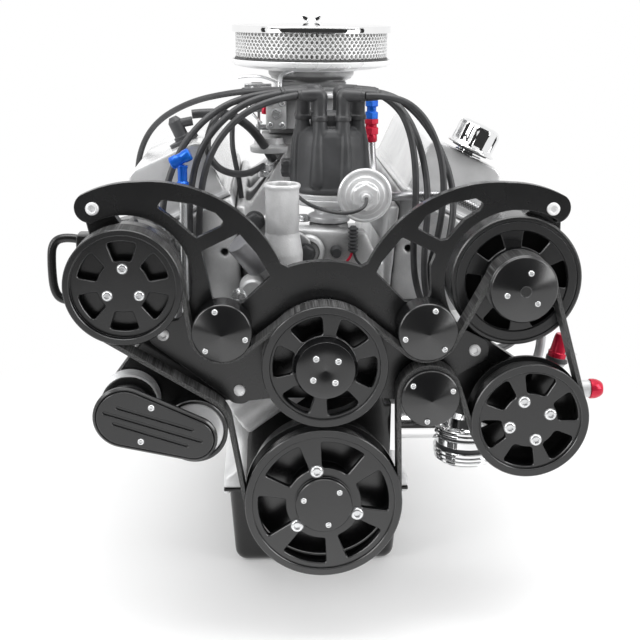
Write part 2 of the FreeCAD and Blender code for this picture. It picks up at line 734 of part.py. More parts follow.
def cylinder_head(side):
    """An aluminium head: deck, exhaust face, rail pocket, ports and plug holes."""
    y0 = head_front(side)
    y1 = y0 + HEAD_LENGTH
    outline = [
        bank(side, DECK_HEIGHT, DECK_OUT + 2),
        bank(side, DECK_HEIGHT, DECK_IN + 2),
        rail(side, -RAIL_HALF + 2, -14),
        rail(side, -RAIL_HALF, 0),
        rail(side, RAIL_HALF, 0),
        rail(side, RAIL_HALF, -14),
        (side * EXHAUST_X, EXHAUST_Z + 44.0),
        (side * EXHAUST_X, EXHAUST_Z - 32.0),
        bank(side, DECK_HEIGHT + 22, DECK_OUT + 2),
    ]
    body = slab(outline, y0, y1)
    tools = []
    pocket = [rail(side, -46, 1), rail(side, 46, 1), rail(side, 40, -26), rail(side, -40, -26)]
    tools.append(slab(pocket, y0 + 16, y1 - 16))
    for _, s, y, _ in CYLINDERS:
        if s != side:
            continue
        x0 = EXHAUST_X - 30 if side > 0 else -EXHAUST_X - 1
        tools.append(box(x0, x0 + 31, y - 15, y + 15, EXHAUST_Z - 10, EXHAUST_Z + 24))
        for dy in (-28, 28):
            x2 = EXHAUST_X - 18 if side > 0 else -EXHAUST_X - 1
            tools.append(Part.makeCylinder(4, 19, V(x2, y + dy, EXHAUST_Z), X_AXIS))
        seat = plug_seat(side, y)
        tools.append(Part.makeCylinder(PLUG_R, 40, seat, plug_axis(side) * -1))
        tools.append(Part.makeCylinder(13, 40, seat, plug_axis(side)))
        chamber = bank(side, DECK_HEIGHT, 0)
        tools.append(Part.makeCylinder(BORE_R - 6, 9, V(chamber[0], y, chamber[1]), bank_axis(side)))
    for spot in ((side * (EXHAUST_X - 112), EXHAUST_Z + 54), (side * (EXHAUST_X - 62), EXHAUST_Z + 28)):
        tools.append(rod(5, y0 - 1, y0 + 14, *spot))
    return cut(body, tools)


EXHAUST_X = RAIL_CENTRE[0] + 67.0
EXHAUST_Z = RAIL_CENTRE[1] - 100.7
PLUG_R = 7.0


def plug_axis(side):
    """The way a spark plug points out of the head."""
    return V(side * math.cos(math.radians(20)), 0, -math.sin(math.radians(20)))


def plug_seat(side, y):
    spot = bank(side, DECK_HEIGHT + 26, DECK_OUT + 12)
    return V(spot[0], y, spot[1])


def spark_plugs():
    plugs = []
    for _, side, y, _ in CYLINDERS:
        seat = plug_seat(side, y)
        axis = plug_axis(side)
        shell = Part.makeCylinder(PLUG_R, 20, seat - axis * 20, axis)
        hexagon = Part.makeCylinder(10.4, 9, seat + axis * 6, axis)
        porcelain = Part.makeCylinder(5.5, 26, seat, axis)
        plugs.append(fuse([shell, hexagon, porcelain]))
    return plugs


def valve_cover(side):
    """A cast cover with a flanged foot, drafted walls and a flat top."""
    y0 = head_front(side) + 10
    y1 = y0 + COVER_LENGTH
    top = COVER_HEIGHT
    half = RAIL_HALF
    outline = [
        rail(side, -half, 0), rail(side, half, 0), rail(side, half, 7), rail(side, half - 6, 8),
        rail(side, COVER_TOP_HALF + 1, top - 16), rail(side, COVER_TOP_HALF - 5, top - 4),
        rail(side, COVER_TOP_HALF - 14, top), rail(side, -COVER_TOP_HALF + 10, top),
        rail(side, -COVER_TOP_HALF + 2, top - 5), rail(side, -COVER_TOP_HALF - 1, top - 14),
        rail(side, -half + 6, 8), rail(side, -half, 7),
    ]
    shell = slab(outline, y0, y1)
    wall = COVER_WALL
    inside = [
        rail(side, -half + 8 + wall, -1), rail(side, half - 8 - wall, -1),
        rail(side, COVER_TOP_HALF - wall, top - 18), rail(side, COVER_TOP_HALF - 15, top - wall),
        rail(side, -COVER_TOP_HALF + 12, top - wall), rail(side, -COVER_TOP_HALF + wall, top - 16),
    ]
    tools = [slab(inside, y0 + 12, y1 - 12)]
    # Ends that step in above the foot, as the cast cover's do
    for a, b in ((y0 - 1, y0 + 8), (y1 - 8, y1 + 1)):
        tools.append(slab([rail(side, -80, 7), rail(side, 80, 7), rail(side, 80, 100),
            rail(side, -80, 100)], a, b))
    hole = cover_spot(side)
    tools.append(Part.makeCylinder(COVER_HOLE_R, 12, hole - rail_normal(side) * 10, rail_normal(side)))
    return cut(shell, tools)


COVER_HOLE_R = 12.5
CAP_Y = {-1: -400.0, 1: -425.0}


def cover_spot(side):
    """The filler hole of the right cover or the valve hole of the left one."""
    across = 0.0 if side > 0 else -28.0
    x, z = rail(side, across, COVER_HEIGHT)
    return V(x, CAP_Y[side], z)


def along_normal(side, profile, spot):
    """Turns (radius, height) points about a line square to the cover's top."""
    shape = turned_z(profile)
    shape.rotate(V(0, 0, 0), Y_AXIS, side * RAIL_TILT)
    shape.translate(spot)
    return shape


def oil_filler_cap():
    """A fluted push-in breather cap over a flange, with its neck."""
    outline = [
        (0.0, -9.0), (COVER_HOLE_R - SEAT_GAP, -9.0), (COVER_HOLE_R - SEAT_GAP, 0.2), (19.0, 0.2),
        (19.0, 7.0),
        (CAP_FLANGE_R, 8.0), (CAP_FLANGE_R, 10.0), (CAP_BODY_R, 11.0), (CAP_BODY_R, 36.0),
        (CAP_BODY_R - 4, 42.0), (CAP_BODY_R - 10, 44.0), (0.0, 44.0),
    ]
    cap = turned_z(outline)
    flutes = [
        post(4.5, 11.5, 38, (CAP_BODY_R + 2.6) * math.cos(math.radians(a)),
            (CAP_BODY_R + 2.6) * math.sin(math.radians(a)))
        for a in range(0, 360, 30)
    ]
    cap = cut(cap, flutes)
    cap.rotate(V(0, 0, 0), Y_AXIS, RAIL_TILT)
    cap.translate(cover_spot(1))
    return cap


CAP_FLANGE_R = 33.0
CAP_BODY_R = 29.0


def pcv_valve():
    """A crankcase valve in a grommet with its outlet elbow facing inboard."""
    profile = [
        (0.0, -9.0), (COVER_HOLE_R - SEAT_GAP, -9.0), (COVER_HOLE_R - SEAT_GAP, 0.2), (20.0, 0.2),
        (20.0, 4.0),
        (11.0, 5.0), (11.0, 9.0), (9.0, 10.0), (9.0, 30.0), (5.0, 36.0), (0.0, 36.0),
    ]
    valve = along_normal(-1, profile, cover_spot(-1))
    top = cover_spot(-1) + rail_normal(-1) * 26
    elbow = Part.makeCylinder(6, PCV_REACH, top, V(0.98, 0, 0.2))
    return fuse([valve, elbow])


PCV_REACH = 22.0


def intake_manifold():
    """Two port flanges, eight runners, a plenum, a valley floor and a crossover."""
    pieces = []
    y0 = BLOCK_FRONT + 30
    y1 = BLOCK_REAR - 16
    flange = 13.0
    low_in = bank(1, DECK_HEIGHT, DECK_IN + 2)
    high_in = rail(1, -RAIL_HALF + 2, -14)
    for side in (-1, 1):
        low = (low_in[0] - SEAT_GAP, low_in[1] + 4)
        high = (high_in[0] - SEAT_GAP, high_in[1])
        outline = [
            (side * low[0], low[1]), (side * high[0], high[1]),
            (side * (high[0] - flange), high[1]), (side * (low[0] - flange), low[1]),
        ]
        pieces.append(slab(outline, y0, y1))
    pieces.append(box(-PLENUM_HALF, PLENUM_HALF, CARB_Y - 62, CARB_Y + 62, 318, CARB_PAD_Z - 14))
    pieces.append(box(-PLENUM_HALF - 10, PLENUM_HALF + 10, CARB_Y - 70, CARB_Y + 70, CARB_PAD_Z - 14,
        CARB_PAD_Z))
    for _, side, y, throw_index in CYLINDERS:
        port = V(side * (high_in[0] - 16), y, high_in[1] - 32.5)
        root_y = CARB_Y + (y - CARB_Y) * 0.30
        root = V(side * (PLENUM_HALF - 22), root_y, 345)
        pieces.append(runner(port, root))
    floor_z = VALLEY_Z + 26
    pieces.append(box(-low_in[0] + 6, low_in[0] - 6, y0, y1, floor_z, floor_z + 10))
    for a in (BLOCK_FRONT, BLOCK_REAR - 16):
        pieces.append(slab([(-72, VALLEY_Z + SEAT_GAP), (72, VALLEY_Z + SEAT_GAP), (90, floor_z + 2),
            (88, floor_z + 14),
                            (-88, floor_z + 14), (-90, floor_z + 2)], a, a + 16))
    pieces.append(box(-84, 84, BLOCK_FRONT, y0 + 2.5, floor_z + 4, 252))
    pieces.append(slab([(-84, 240), (84, 240), (60, 292), (-84, 300)], BLOCK_FRONT, y0 + 2))
    pieces.append(post(DIST_BOSS_R, floor_z + 2, DIST_BOSS_Z, *DIST_AXIS))
    pieces.append(box(-40, 60, -470, -300, 225, 262))
    body = fuse(pieces)
    tools = [post(DIST_STEM_R + RUNNING_GAP, floor_z - 30, DIST_BOSS_Z + 1, *DIST_AXIS)]
    for dx in (-33, 33):
        for dy in (-32, 32):
            tools.append(post(19.5, CARB_PAD_Z - 40, CARB_PAD_Z + 1, dx * 0.75, CARB_Y + dy * 0.8))
    return cut(body, tools)


PLENUM_HALF = 62.0
DIST_BOSS_R = 26.0
DIST_BOSS_Z = 296.0
DIST_STEM_R = 16.0


def runner(port, root):
    """A duct that narrows from the plenum to one intake port."""
    way = port.sub(root)
    wires = []
    for point, half_w, half_h in ((root, 18, 25), (root + way * 0.5, 18, 22), (port, 17, 26)):
        corners = []
        for dy, dz in ((-half_w, -half_h), (half_w, -half_h), (half_w, half_h), (-half_w, half_h)):
            corners.append(V(point.x, point.y + dy, point.z + dz))
        wires.append(Part.makePolygon(corners + [corners[0]]))
    return Part.makeLoft(wires, True, False)


def carburettor():
    """Main body with four barrels, throttle plate body and two float bowls."""
    base = box(-62, 62, CARB_Y - 62, CARB_Y + 62, CARB_PAD_Z, CARB_PAD_Z + 12)
    body = box(-48, 48, CARB_Y - 50, CARB_Y + 50, CARB_PAD_Z + 12, CARB_PAD_Z + 72)
    horn = turned_z([(0.0, CARB_PAD_Z + 72), (52.0, CARB_PAD_Z + 72), (62.0, CARB_PAD_Z + 80),
        (62.0, AIR_BASE_Z - 4),
                     (64.5, AIR_BASE_Z - 4), (64.5, AIR_BASE_Z), (0.0, AIR_BASE_Z)], 0, CARB_Y)
    metering = [box(-52, 52, CARB_Y - 62, CARB_Y - 50, CARB_PAD_Z + 16, CARB_PAD_Z + 66),
                box(-52, 52, CARB_Y + 50, CARB_Y + 62, CARB_PAD_Z + 16, CARB_PAD_Z + 66)]
    main = fuse([base, body, horn] + metering)
    tools = []
    for dx in (-22, 22):
        for dy in (-24, 24):
            tools.append(post(16, CARB_PAD_Z - 1, CARB_PAD_Z + 74, dx, CARB_Y + dy))
    tools.append(turned_z([(0.0, CARB_PAD_Z + 70), (46.0, CARB_PAD_Z + 70), (56.0, AIR_BASE_Z + 1),
        (0.0, AIR_BASE_Z + 1)], 0, CARB_Y))
    for dy in (-24, 24):
        tools.append(Part.makeCylinder(4.0 + RUNNING_GAP, 140, V(-70, CARB_Y + dy, CARB_PAD_Z + 6), X_AXIS))
    main = cut(main, tools)
    # The bridge across the horn that the air cleaner's stud screws into
    bridge = fuse([box(-60, 60, CARB_Y - 7, CARB_Y + 7, CARB_PAD_Z + 74, CARB_PAD_Z + 84)])
    bridge = bridge.common(post(58, CARB_PAD_Z + 70, CARB_PAD_Z + 90, 0, CARB_Y))
    bowls = []
    for s in (-1, 1):
        a = CARB_Y + s * 62
        b = CARB_Y + s * 104
        bowl = box(-54, 54, min(a, b), max(a, b), CARB_PAD_Z + 12, CARB_PAD_Z + 62)
        along = [e for e in bowl.Edges if abs(e.tangentAt(e.FirstParameter).z) > 0.99]
        bowls.append(bowl.makeFillet(7, along))
    return [fuse([main, bridge])], bowls


def throttle_shaft():
    """The primary spindle with two butterfly plates and its lever."""
    y = CARB_Y - 24
    z = CARB_PAD_Z + 6
    spindle = Part.makeCylinder(4.0, 148, V(-80, y, z), X_AXIS)
    plates = [post(15.4, z - 1.2, z + 1.2, dx, y) for dx in (-22, 22)]
    wire = [V(-78, y - 12, z - 12), V(-78, y + 14, z - 8), V(-78, y + 10, z + 42), V(-78, y - 4, z + 44)]
    lever = Part.Face(Part.makePolygon(wire + [wire[0]])).extrude(V(4, 0, 0))
    return fuse([spindle, lever] + plates)


def air_cleaner():
    """Dished base, pleated element ring, lid and the wing nut on its stud."""
    bottom = AIR_BASE_Z
    top = bottom + AIR_HEIGHT
    base = turned_z([(STUD_R + 56, bottom + 0.3), (66.5, bottom + 0.3), (66.5, bottom - 9),
        (68.5, bottom - 9), (70.5, bottom + 0.3), (88.0, bottom + 0.3),
                     (95.0, bottom - 6), (AIR_R - 4, bottom - 2), (AIR_R, bottom + 2), (AIR_R, bottom + 6),
                     (AIR_R - 2, bottom + 6),
                     (AIR_R - 3, bottom + 3), (96.0, bottom - 2), (90.0, bottom + 4),
                     (STUD_R + 56, bottom + 4)], 0, CARB_Y)
    element = turned_z([(AIR_R - 30, bottom + 4.2), (AIR_R - 6, bottom + 4.2), (AIR_R - 6, top - 8.2),
        (AIR_R - 30, top - 8.2)], 0, CARB_Y)
    lid = turned_z([(STUD_R + 0.3, top - 2), (40.0, top - 3), (AIR_R - 8, top - 8), (AIR_R - 2, top - 8),
        (AIR_R - 2, top - 11),
                    (AIR_R, top - 11), (AIR_R, top - 5), (AIR_R - 6, top - 2), (AIR_R - 16, top - 3),
                    (44.0, top + 1), (STUD_R + 0.3, top + 2)], 0, CARB_Y)
    stud = post(STUD_R, CARB_PAD_Z + 84, top + 14, 0, CARB_Y)
    nut = turned_z([(0.0, top + 2.2), (8.0, top + 2.2), (6.0, top + 13), (0.0, top + 13)], 0, CARB_Y)
    wings = [box(s * 5 - 6, s * 5 + 6, CARB_Y - 1.5, CARB_Y + 1.5, top + 5, top + 18) for s in (-1, 1)]
    return base, element, [lid], fuse([stud, nut] + wings)


STUD_R = 3.2


def distributor():
    """Housing with its stem, the tall cap with nine towers, and the rotor."""
    x, y = DIST_AXIS
    housing = turned_z([
        (DIST_BUSH_R, DIST_BOSS_Z - 60), (DIST_STEM_R, DIST_BOSS_Z - 60), (DIST_STEM_R, DIST_BOSS_Z + 0.2),
        (23.0, DIST_BOSS_Z + 0.2), (23.0, DIST_BOSS_Z + 8),
        (18.0, DIST_BOSS_Z + 10), (20.0, DIST_SKIRT_Z - 24), (DIST_R - 8, DIST_SKIRT_Z - 14),
        (DIST_R - 4, DIST_SKIRT_Z - 12),
        (DIST_R - 4, DIST_SKIRT_Z), (DIST_R - 9, DIST_SKIRT_Z), (DIST_R - 9, DIST_SKIRT_Z - 8),
        (DIST_BUSH_R, DIST_SKIRT_Z - 12),
    ], x, y)
    cap = turned_z([
        (DIST_R - 4, DIST_SKIRT_Z + 0.2), (DIST_R, DIST_SKIRT_Z + 0.2), (DIST_R, DIST_CAP_Z - 18),
        (DIST_R - 3, DIST_CAP_Z - 10), (DIST_R - 6, DIST_CAP_Z),
        (0.0, DIST_CAP_Z), (0.0, DIST_CAP_Z - 6), (DIST_R - 12, DIST_CAP_Z - 8),
        (DIST_R - 6, DIST_CAP_Z - 24), (DIST_R - 4, DIST_CAP_Z - 26),
    ], x, y)
    towers = []
    for i in range(8):
        a = math.radians(22.5 + 45 * i)
        tx = x + TOWER_CIRCLE * math.cos(a)
        ty = y + TOWER_CIRCLE * math.sin(a)
        towers.append(turned_z([(0.0, DIST_CAP_Z - 1), (8.5, DIST_CAP_Z - 1), (7.0, TOWER_TOP_Z),
            (0.0, TOWER_TOP_Z)], tx, ty))
    coil = box(x - 24, x + 24, y - 20, y + 20, DIST_CAP_Z - 1, DIST_CAP_Z + 20)
    tab = box(x - DIST_R - 12, x - DIST_R + 6, y - 18, y + 10, DIST_SKIRT_Z + 18, DIST_SKIRT_Z + 40)
    cap = fuse([cap, tab] + towers + [coil])
    cavity = post(DIST_R - 7, DIST_SKIRT_Z + 0.1, DIST_CAP_Z - 26, x, y)
    cap = cap.cut(cavity)
    shaft = post(DIST_SHAFT_R, CAM_HEIGHT + 10, DIST_SKIRT_Z + 20, x, y)
    gear = post(DIST_GEAR_R, CAM_HEIGHT - 10, CAM_HEIGHT + 10, x, y)
    rotor = turned_z([(0.0, DIST_SKIRT_Z + 20), (16.0, DIST_SKIRT_Z + 20), (16.0, DIST_SKIRT_Z + 34),
        (0.0, DIST_SKIRT_Z + 34)], x, y)
    arm = box(x - 8, x + 38, y - 8, y + 8, DIST_SKIRT_Z + 34, DIST_SKIRT_Z + 40)
    return housing, cap, fuse([shaft, gear, rotor, arm])


DIST_BUSH_R = DIST_SHAFT_R + RUNNING_GAP
TOWER_CIRCLE = 38.0
TOWER_TOP_Z = 445.0


def vacuum_advance():
    """A pressed canister facing forward on a bracket from the distributor."""
    x, z = VACUUM_AXIS
    y = VACUUM_Y
    can = turned_y([(0.0, y), (9.0, y), (12.0, y + 3), (28.0, y + 7), (VACUUM_R, y + 10),
        (VACUUM_R, y + 14), (28.0, y + 17),
                    (12.0, y + 24), (0.0, y + 24)], x, z)
    nipple = rod(5.0, y - 12, y + 1, x, z)
    arm = slab([(x - 15, z - 20), (x - 3, z - 20), (x - 3, z - 6), (x - 15, z - 6)], y + 14, y + 38)
    return fuse([can, nipple, arm])


VACUUM_AXIS = (57.0, 340.0)
VACUUM_Y = -518.0
VACUUM_R = 34.0


def thermostat_housing():
    """An upright hose neck on a flanged foot bolted to the crossover's face."""
    x, y = NECK_AXIS
    neck = turned_z([(0.0, 262.0), (NECK_R + 3, 262.0), (NECK_R + 1, 290.0), (NECK_R, 294.0),
        (NECK_R, NECK_TOP_Z - 6), (NECK_R + 1.6, NECK_TOP_Z - 4),
                     (NECK_R + 1.6, NECK_TOP_Z), (0.0, NECK_TOP_Z)], x, y)
    foot = slab([(x - 38, 300.0), (x - 30, 316.0), (x - 10, 300.0), (x + 28, 290.0), (x + 36, 272.0),
        (x + 20, 252.0), (x - 20, 250.0)],
                BLOCK_FRONT - 12, BLOCK_FRONT)
    bridge = box(x - 20, x + 20, y, BLOCK_FRONT - 6, 256, 290)
    body = fuse([neck, foot, bridge])
    bore = post(NECK_R - NECK_WALL, 274, NECK_TOP_Z + 1, x, y)
    return body.cut(bore)


def timing_cover():
    """A shallow casting over the chain, open at the back."""
    y0 = BLOCK_FRONT - 45
    y1 = BLOCK_FRONT
    outline = [(-96, -58), (96, -58), (92, 30), (78, 120), (70, 192), (-70, 192), (-78, 120), (-92, 30)]
    inside = [(-80, -46), (80, -46), (76, 30), (72, 122), (66, 187), (-66, 187), (-72, 122), (-76, 30)]
    ins = [(x * 0.96, z) for x, z in inside]
    body = slab(outline, y0, y1).cut(slab(ins, y0 + 6, y1 + 1))
    seal = rod(SNOUT_R + 14, y0 - 8, y0 + 1)
    pad = box(78, FUEL_FACE_X, BLOCK_FRONT - 43, BLOCK_FRONT - 3, FUEL_AXIS[1] - 32, FUEL_AXIS[1] + 32)
    return fuse([body, seal, pad]).cut(rod(SNOUT_R + 0.1, y0 - 10, y0 + 10))


INLET_R = 22.0
INLET_LENGTH = 55.0
INLET_END = 100.0


def water_pump():
    """Volute, bearing nose, two legs to the block and the lower hose nipple."""
    x, z = WATER_AXIS
    back = BLOCK_FRONT - 45
    volute = turned_y([(0.0, back - 52), (44.0, back - 52), (60.0, back - 40), (60.0, back), (0.0, back)],
        x, z)
    nose = turned_y([(0.0, PLATE_FRONT - 2), (NOSE_R - 4, PLATE_FRONT - 2), (NOSE_R, PLATE_FRONT + 3),
        (NOSE_R, back - 50), (0.0, back - 50)], x, z)
    legs = []
    for s in (-1, 1):
        legs.append(slab([(s * 30, z + 20), (s * 92, 178), (s * 108, 160), (s * 100, 146), (s * 66, 130),
            (s * 30, z - 25)], back - 22, back))
        legs.append(rod(14, back - 20, BLOCK_FRONT, s * 94, 162))
    nipple_way = V(-0.8, 0, -0.6)
    nipple_root = V(-20, back - 30, 130)
    nipple = Part.makeCylinder(INLET_R, INLET_END, nipple_root, nipple_way)
    collar = Part.makeCylinder(INLET_R + 4, INLET_END - INLET_LENGTH, nipple_root, nipple_way)
    body = fuse([volute, nose, nipple, collar] + legs)
    tools = [
        turned_y([(0.0, back - 20), (WATER_SHAFT_R + RUNNING_GAP, back - 20),
            (WATER_SHAFT_R + RUNNING_GAP, PLATE_FRONT - 3), (0.0, PLATE_FRONT - 3)], x, z),
        rod(50, back - 34, back - 4, x, z),
        Part.makeCylinder(INLET_R - 3, INLET_END - 25, nipple_root + nipple_way * 30, nipple_way),
    ]
    return cut(body, tools)


WATER_SHAFT_R = 8.0


def water_shaft():
    """Spindle, drive flange and a six-vane impeller."""
    x, z = WATER_AXIS
    back = BLOCK_FRONT - 45
    pieces = [rod(WATER_SHAFT_R, PULLEY_FRONT + 10, back - 10, x, z), rod(46, back - 12, back - 8, x, z)]
    for i in range(6):
        vane = box(x + 4, x + 45, back - 26, back - 10, z - 1.5, z + 1.5)
        vane.rotate(V(x, 0, z), Y_AXIS, 60 * i)
        pieces.append(vane)
    return fuse(pieces)


def alternator():
    """Vented case with ears, wound rotor with fans, and its pulley."""
    y0 = PLATE_FRONT - 2
    y1 = y0 + ALT_CASE_LENGTH
    x, z = ALT_AXIS
    wall = 5.0
    case = turned_y([
        (14.0, y0 + 6), (40.0, y0 + 4), (ALT_CASE_R - 10, y0 + 3), (ALT_CASE_R - 6, y0),
        (ALT_CASE_R - 2, y0), (ALT_CASE_R, y0 + 3),
        (ALT_CASE_R, y1 - 16), (ALT_CASE_R - 8, y1), (14.0, y1), (14.0, y1 - 7), (ALT_CASE_R - 14, y1 - 7),
        (ALT_CASE_R - wall, y1 - 20),
        (ALT_CASE_R - wall, y0 + 12), (14.0, y0 + 14),
    ], x, z)
    slots = []
    for i in range(12):
        slots.append(ring_window(ALT_AXIS, 46, 64, 30 * i, 18, y0 - 1, y0 + 16, 2.0))
    case = cut(case, slots)
    upper = slab(lug(ALT_AXIS, WING_BOLT, ALT_CASE_R - 4, 26, 14), PLATE_BACK, PLATE_BACK + EAR_THICK)
    lower = slab(lug(ALT_AXIS, LOBE_RIGHT, ALT_CASE_R - 4, 26, 14), PLATE_BACK + BRACKET_THICK,
        PLATE_BACK + BRACKET_THICK + EAR_THICK)
    case = fuse([case, upper, lower])
    case = cut(case, [rod(BOLT_R, -700, -500, *WING_BOLT), rod(BOLT_R, -700, -500, *LOBE_RIGHT),
                      turned_y([(0.0, y0 - 1), (14.0, y0 - 1), (14.0, y1 - 2), (0.0, y1 - 2)], x, z)])
    rotor = fuse([
        rod(8.0, PULLEY_FRONT + 10, y1 - 6, x, z),
        turned_y([(7.0, y0 + 26), (50.0, y0 + 26), (50.0, y1 - 30), (7.0, y1 - 30)], x, z),
        turned_y([(7.0, y0 + 19), (64.0, y0 + 19), (64.0, y0 + 22), (7.0, y0 + 22)], x, z),
        turned_y([(7.0, y1 - 16), (13.95, y1 - 16), (13.95, y1 - 3), (7.0, y1 - 3)], x, z),
        turned_y([(7.0, y0 + 3), (13.95, y0 + 3), (13.95, y0 + 22), (7.0, y0 + 22)], x, z),
    ])
    return case, rotor


def lug(axis, bolt, root_r, root_half, tip_r):
    """A tapered ear from a round case to a bolt, as an outline."""
    dx = bolt[0] - axis[0]
    dz = bolt[1] - axis[1]
    angle = math.degrees(math.atan2(dz, dx))
    spread = math.degrees(math.asin(root_half / root_r))
    points = [polar(axis, root_r, angle - spread)]
    for k in range(-3, 4):
        points.append(polar(bolt, tip_r, angle + k * 30))
    points.append(polar(axis, root_r, angle + spread))
    return points


def ac_compressor():
    """A cylindrical compressor with ears, a port block and its suction pipe."""
    y0 = PULLEY_FRONT + PULLEY_WIDTH + 3
    y1 = y0 + AC_BODY_LENGTH
    x, z = AC_AXIS
    body = turned_y([
        (AC_SHAFT_BORE, y0 - 10), (28.0, y0 - 10), (28.0, y0), (44.0, y0), (52.0, y0 + 8),
        (AC_BODY_R, y0 + 12), (AC_BODY_R, y0 + 30), (AC_BODY_R - 4, y0 + 32),
        (AC_BODY_R - 4, y1 - 50), (AC_BODY_R, y1 - 48), (AC_BODY_R, y1 - 30), (AC_BODY_R - 3, y1 - 28),
        (AC_BODY_R - 3, y1 - 4), (44.0, y1), (0.0, y1),
        (0.0, y0 + 40), (AC_SHAFT_BORE, y0 + 40),
    ], x, z)
    upper = slab(lug(AC_AXIS, (-WING_BOLT[0], WING_BOLT[1]), AC_BODY_R - 3, 24, 14), PLATE_BACK,
        PLATE_BACK + EAR_THICK)
    lower = slab(lug(AC_AXIS, LOBE_LEFT, AC_BODY_R - 3, 24, 14), PLATE_BACK + BRACKET_THICK,
        PLATE_BACK + BRACKET_THICK + EAR_THICK)
    ports = box(x - 62, x - 20, y0 + 60, y0 + 96, z + 26, z + 50)
    stub = Part.makeCylinder(9.5, 34, V(x - 82, y0 + 78, z + 38), X_AXIS)
    body = fuse([body, upper, lower, ports, stub])
    body = cut(body, [rod(BOLT_R, -700, -500, -WING_BOLT[0], WING_BOLT[1]),
        rod(BOLT_R, -700, -500, *LOBE_LEFT)])
    pipe_y = y0 + 78
    loop = [
        Part.Arc(V(x - 80, pipe_y, z + 38), V(x - 93, pipe_y, z + 12), V(x - 84, pipe_y, z - 16)).toShape(),
    ]
    ring = Part.Wire([Part.makeCircle(7.5, V(x - 80, pipe_y, z + 38),
        loop[0].tangentAt(loop[0].FirstParameter))])
    pipe = Part.Wire(loop).makePipeShell([ring], True, True)
    return [fuse([body, pipe])]


AC_SHAFT_BORE = 9.0


def ac_pulley():
    """The compressor's clutch wheel, with six blind pockets in its face plate."""
    f = PULLEY_FRONT
    w = PULLEY_WIDTH
    radius = AC_PULLEY_R
    groove = radius - FLANGE_HEIGHT
    wheel = turned_y([
        (30.0, f + 9), (radius - 10, f + 9), (radius - 9, f), (radius - 1, f), (radius, f + 1),
        (radius, f + 2.5), (groove, f + 4), (groove, f + w - 4),
        (radius, f + w - 2.5), (radius, f + w), (30.0, f + w),
    ], *AC_AXIS)
    plate = turned_y([(0.0, f + 1.5), (12.0, f + 1.5), (14.0, f + 0.5), (radius - 10.5, f + 0.5),
        (radius - 10.5, f + 8.9), (0.0, f + 8.9)], *AC_AXIS)
    pockets = [ring_window(AC_AXIS, 29.5, 51.6, 60 * i + 30, 38, f - 1, f + 6.5, 4.0) for i in range(6)]
    plate = cut(plate, pockets)
    shaft = rod(AC_SHAFT_BORE - RUNNING_GAP, f + 8, f + w + 30, *AC_AXIS)
    sleeve = turned_y([(AC_SHAFT_BORE - 1, f + 8.5), (29.0, f + 8.5), (31.0, f + 9.5), (31.0, f + 24),
        (AC_SHAFT_BORE - 1, f + 24)], *AC_AXIS)
    return [fuse([wheel, plate, shaft, sleeve])]


def steering_pump():
    """A round pump with its bracket, its ports and a short shaft bore."""
    x, z = STEER_AXIS
    y0 = PLATE_BACK + BRACKET_THICK
    body = turned_y([
        (STEER_SHAFT_R + RUNNING_GAP, PLATE_BACK - 4), (25.7, PLATE_BACK - 4), (25.7, y0), (46.0, y0),
        (52.0, y0 + 6), (52.0, y0 + 24),
        (46.0, y0 + 28), (0.0, y0 + 28), (0.0, y0 + 20), (STEER_SHAFT_R + RUNNING_GAP, y0 + 20),
    ], x, z)
    feed = Part.makeCylinder(11, 44, V(x + 34, y0 + 15, z + 34),
        V(math.cos(math.radians(45)), 0, math.sin(math.radians(45))))
    back = Part.makeCylinder(11, 52, V(x + 46, y0 + 15, z + 12), X_AXIS)
    return fuse([body, feed, back])


STEER_SHAFT_R = 8.0


def port_caps():
    """The two shipping caps pushed over the steering pump's ports."""
    x, z = STEER_AXIS
    y0 = PLATE_BACK + BRACKET_THICK
    up = V(math.cos(math.radians(45)), 0, math.sin(math.radians(45)))
    tip = V(x + 34, y0 + 15, z + 34) + up * 44
    caps = [Part.makeCylinder(13, 16, tip, up), Part.makeCylinder(13, 16, V(x + 98, y0 + 15, z + 12), X_AXIS)]
    return caps


def steering_bracket():
    """A flat arm behind the plate that reaches down to the steering pump."""
    outline = [
        polar(LOWER_BOLT, 16, 150), polar(LOWER_BOLT, 16, 80), polar(LOBE_RIGHT, 17, 130),
            polar(LOBE_RIGHT, 17, 60),
        polar(STEER_AXIS, 46, 70), polar(STEER_AXIS, 46, 20), polar(STEER_AXIS, 46, -40),
            polar(STEER_AXIS, 46, -100),
        polar(STEER_AXIS, 46, -150), polar(LOWER_BOLT, 16, -60), polar(LOWER_BOLT, 16, -130),
    ]
    arm = slab(outline, PLATE_BACK, PLATE_BACK + BRACKET_THICK)
    return cut(arm, [rod(BOLT_R, PLATE_BACK - 1, PLATE_BACK + BRACKET_THICK + 1, *LOWER_BOLT),
                     rod(BOLT_R, PLATE_BACK - 1, PLATE_BACK + BRACKET_THICK + 1, *LOBE_RIGHT),
                     rod(26.0, PLATE_BACK - 1, PLATE_BACK + BRACKET_THICK + 1, *STEER_AXIS)])


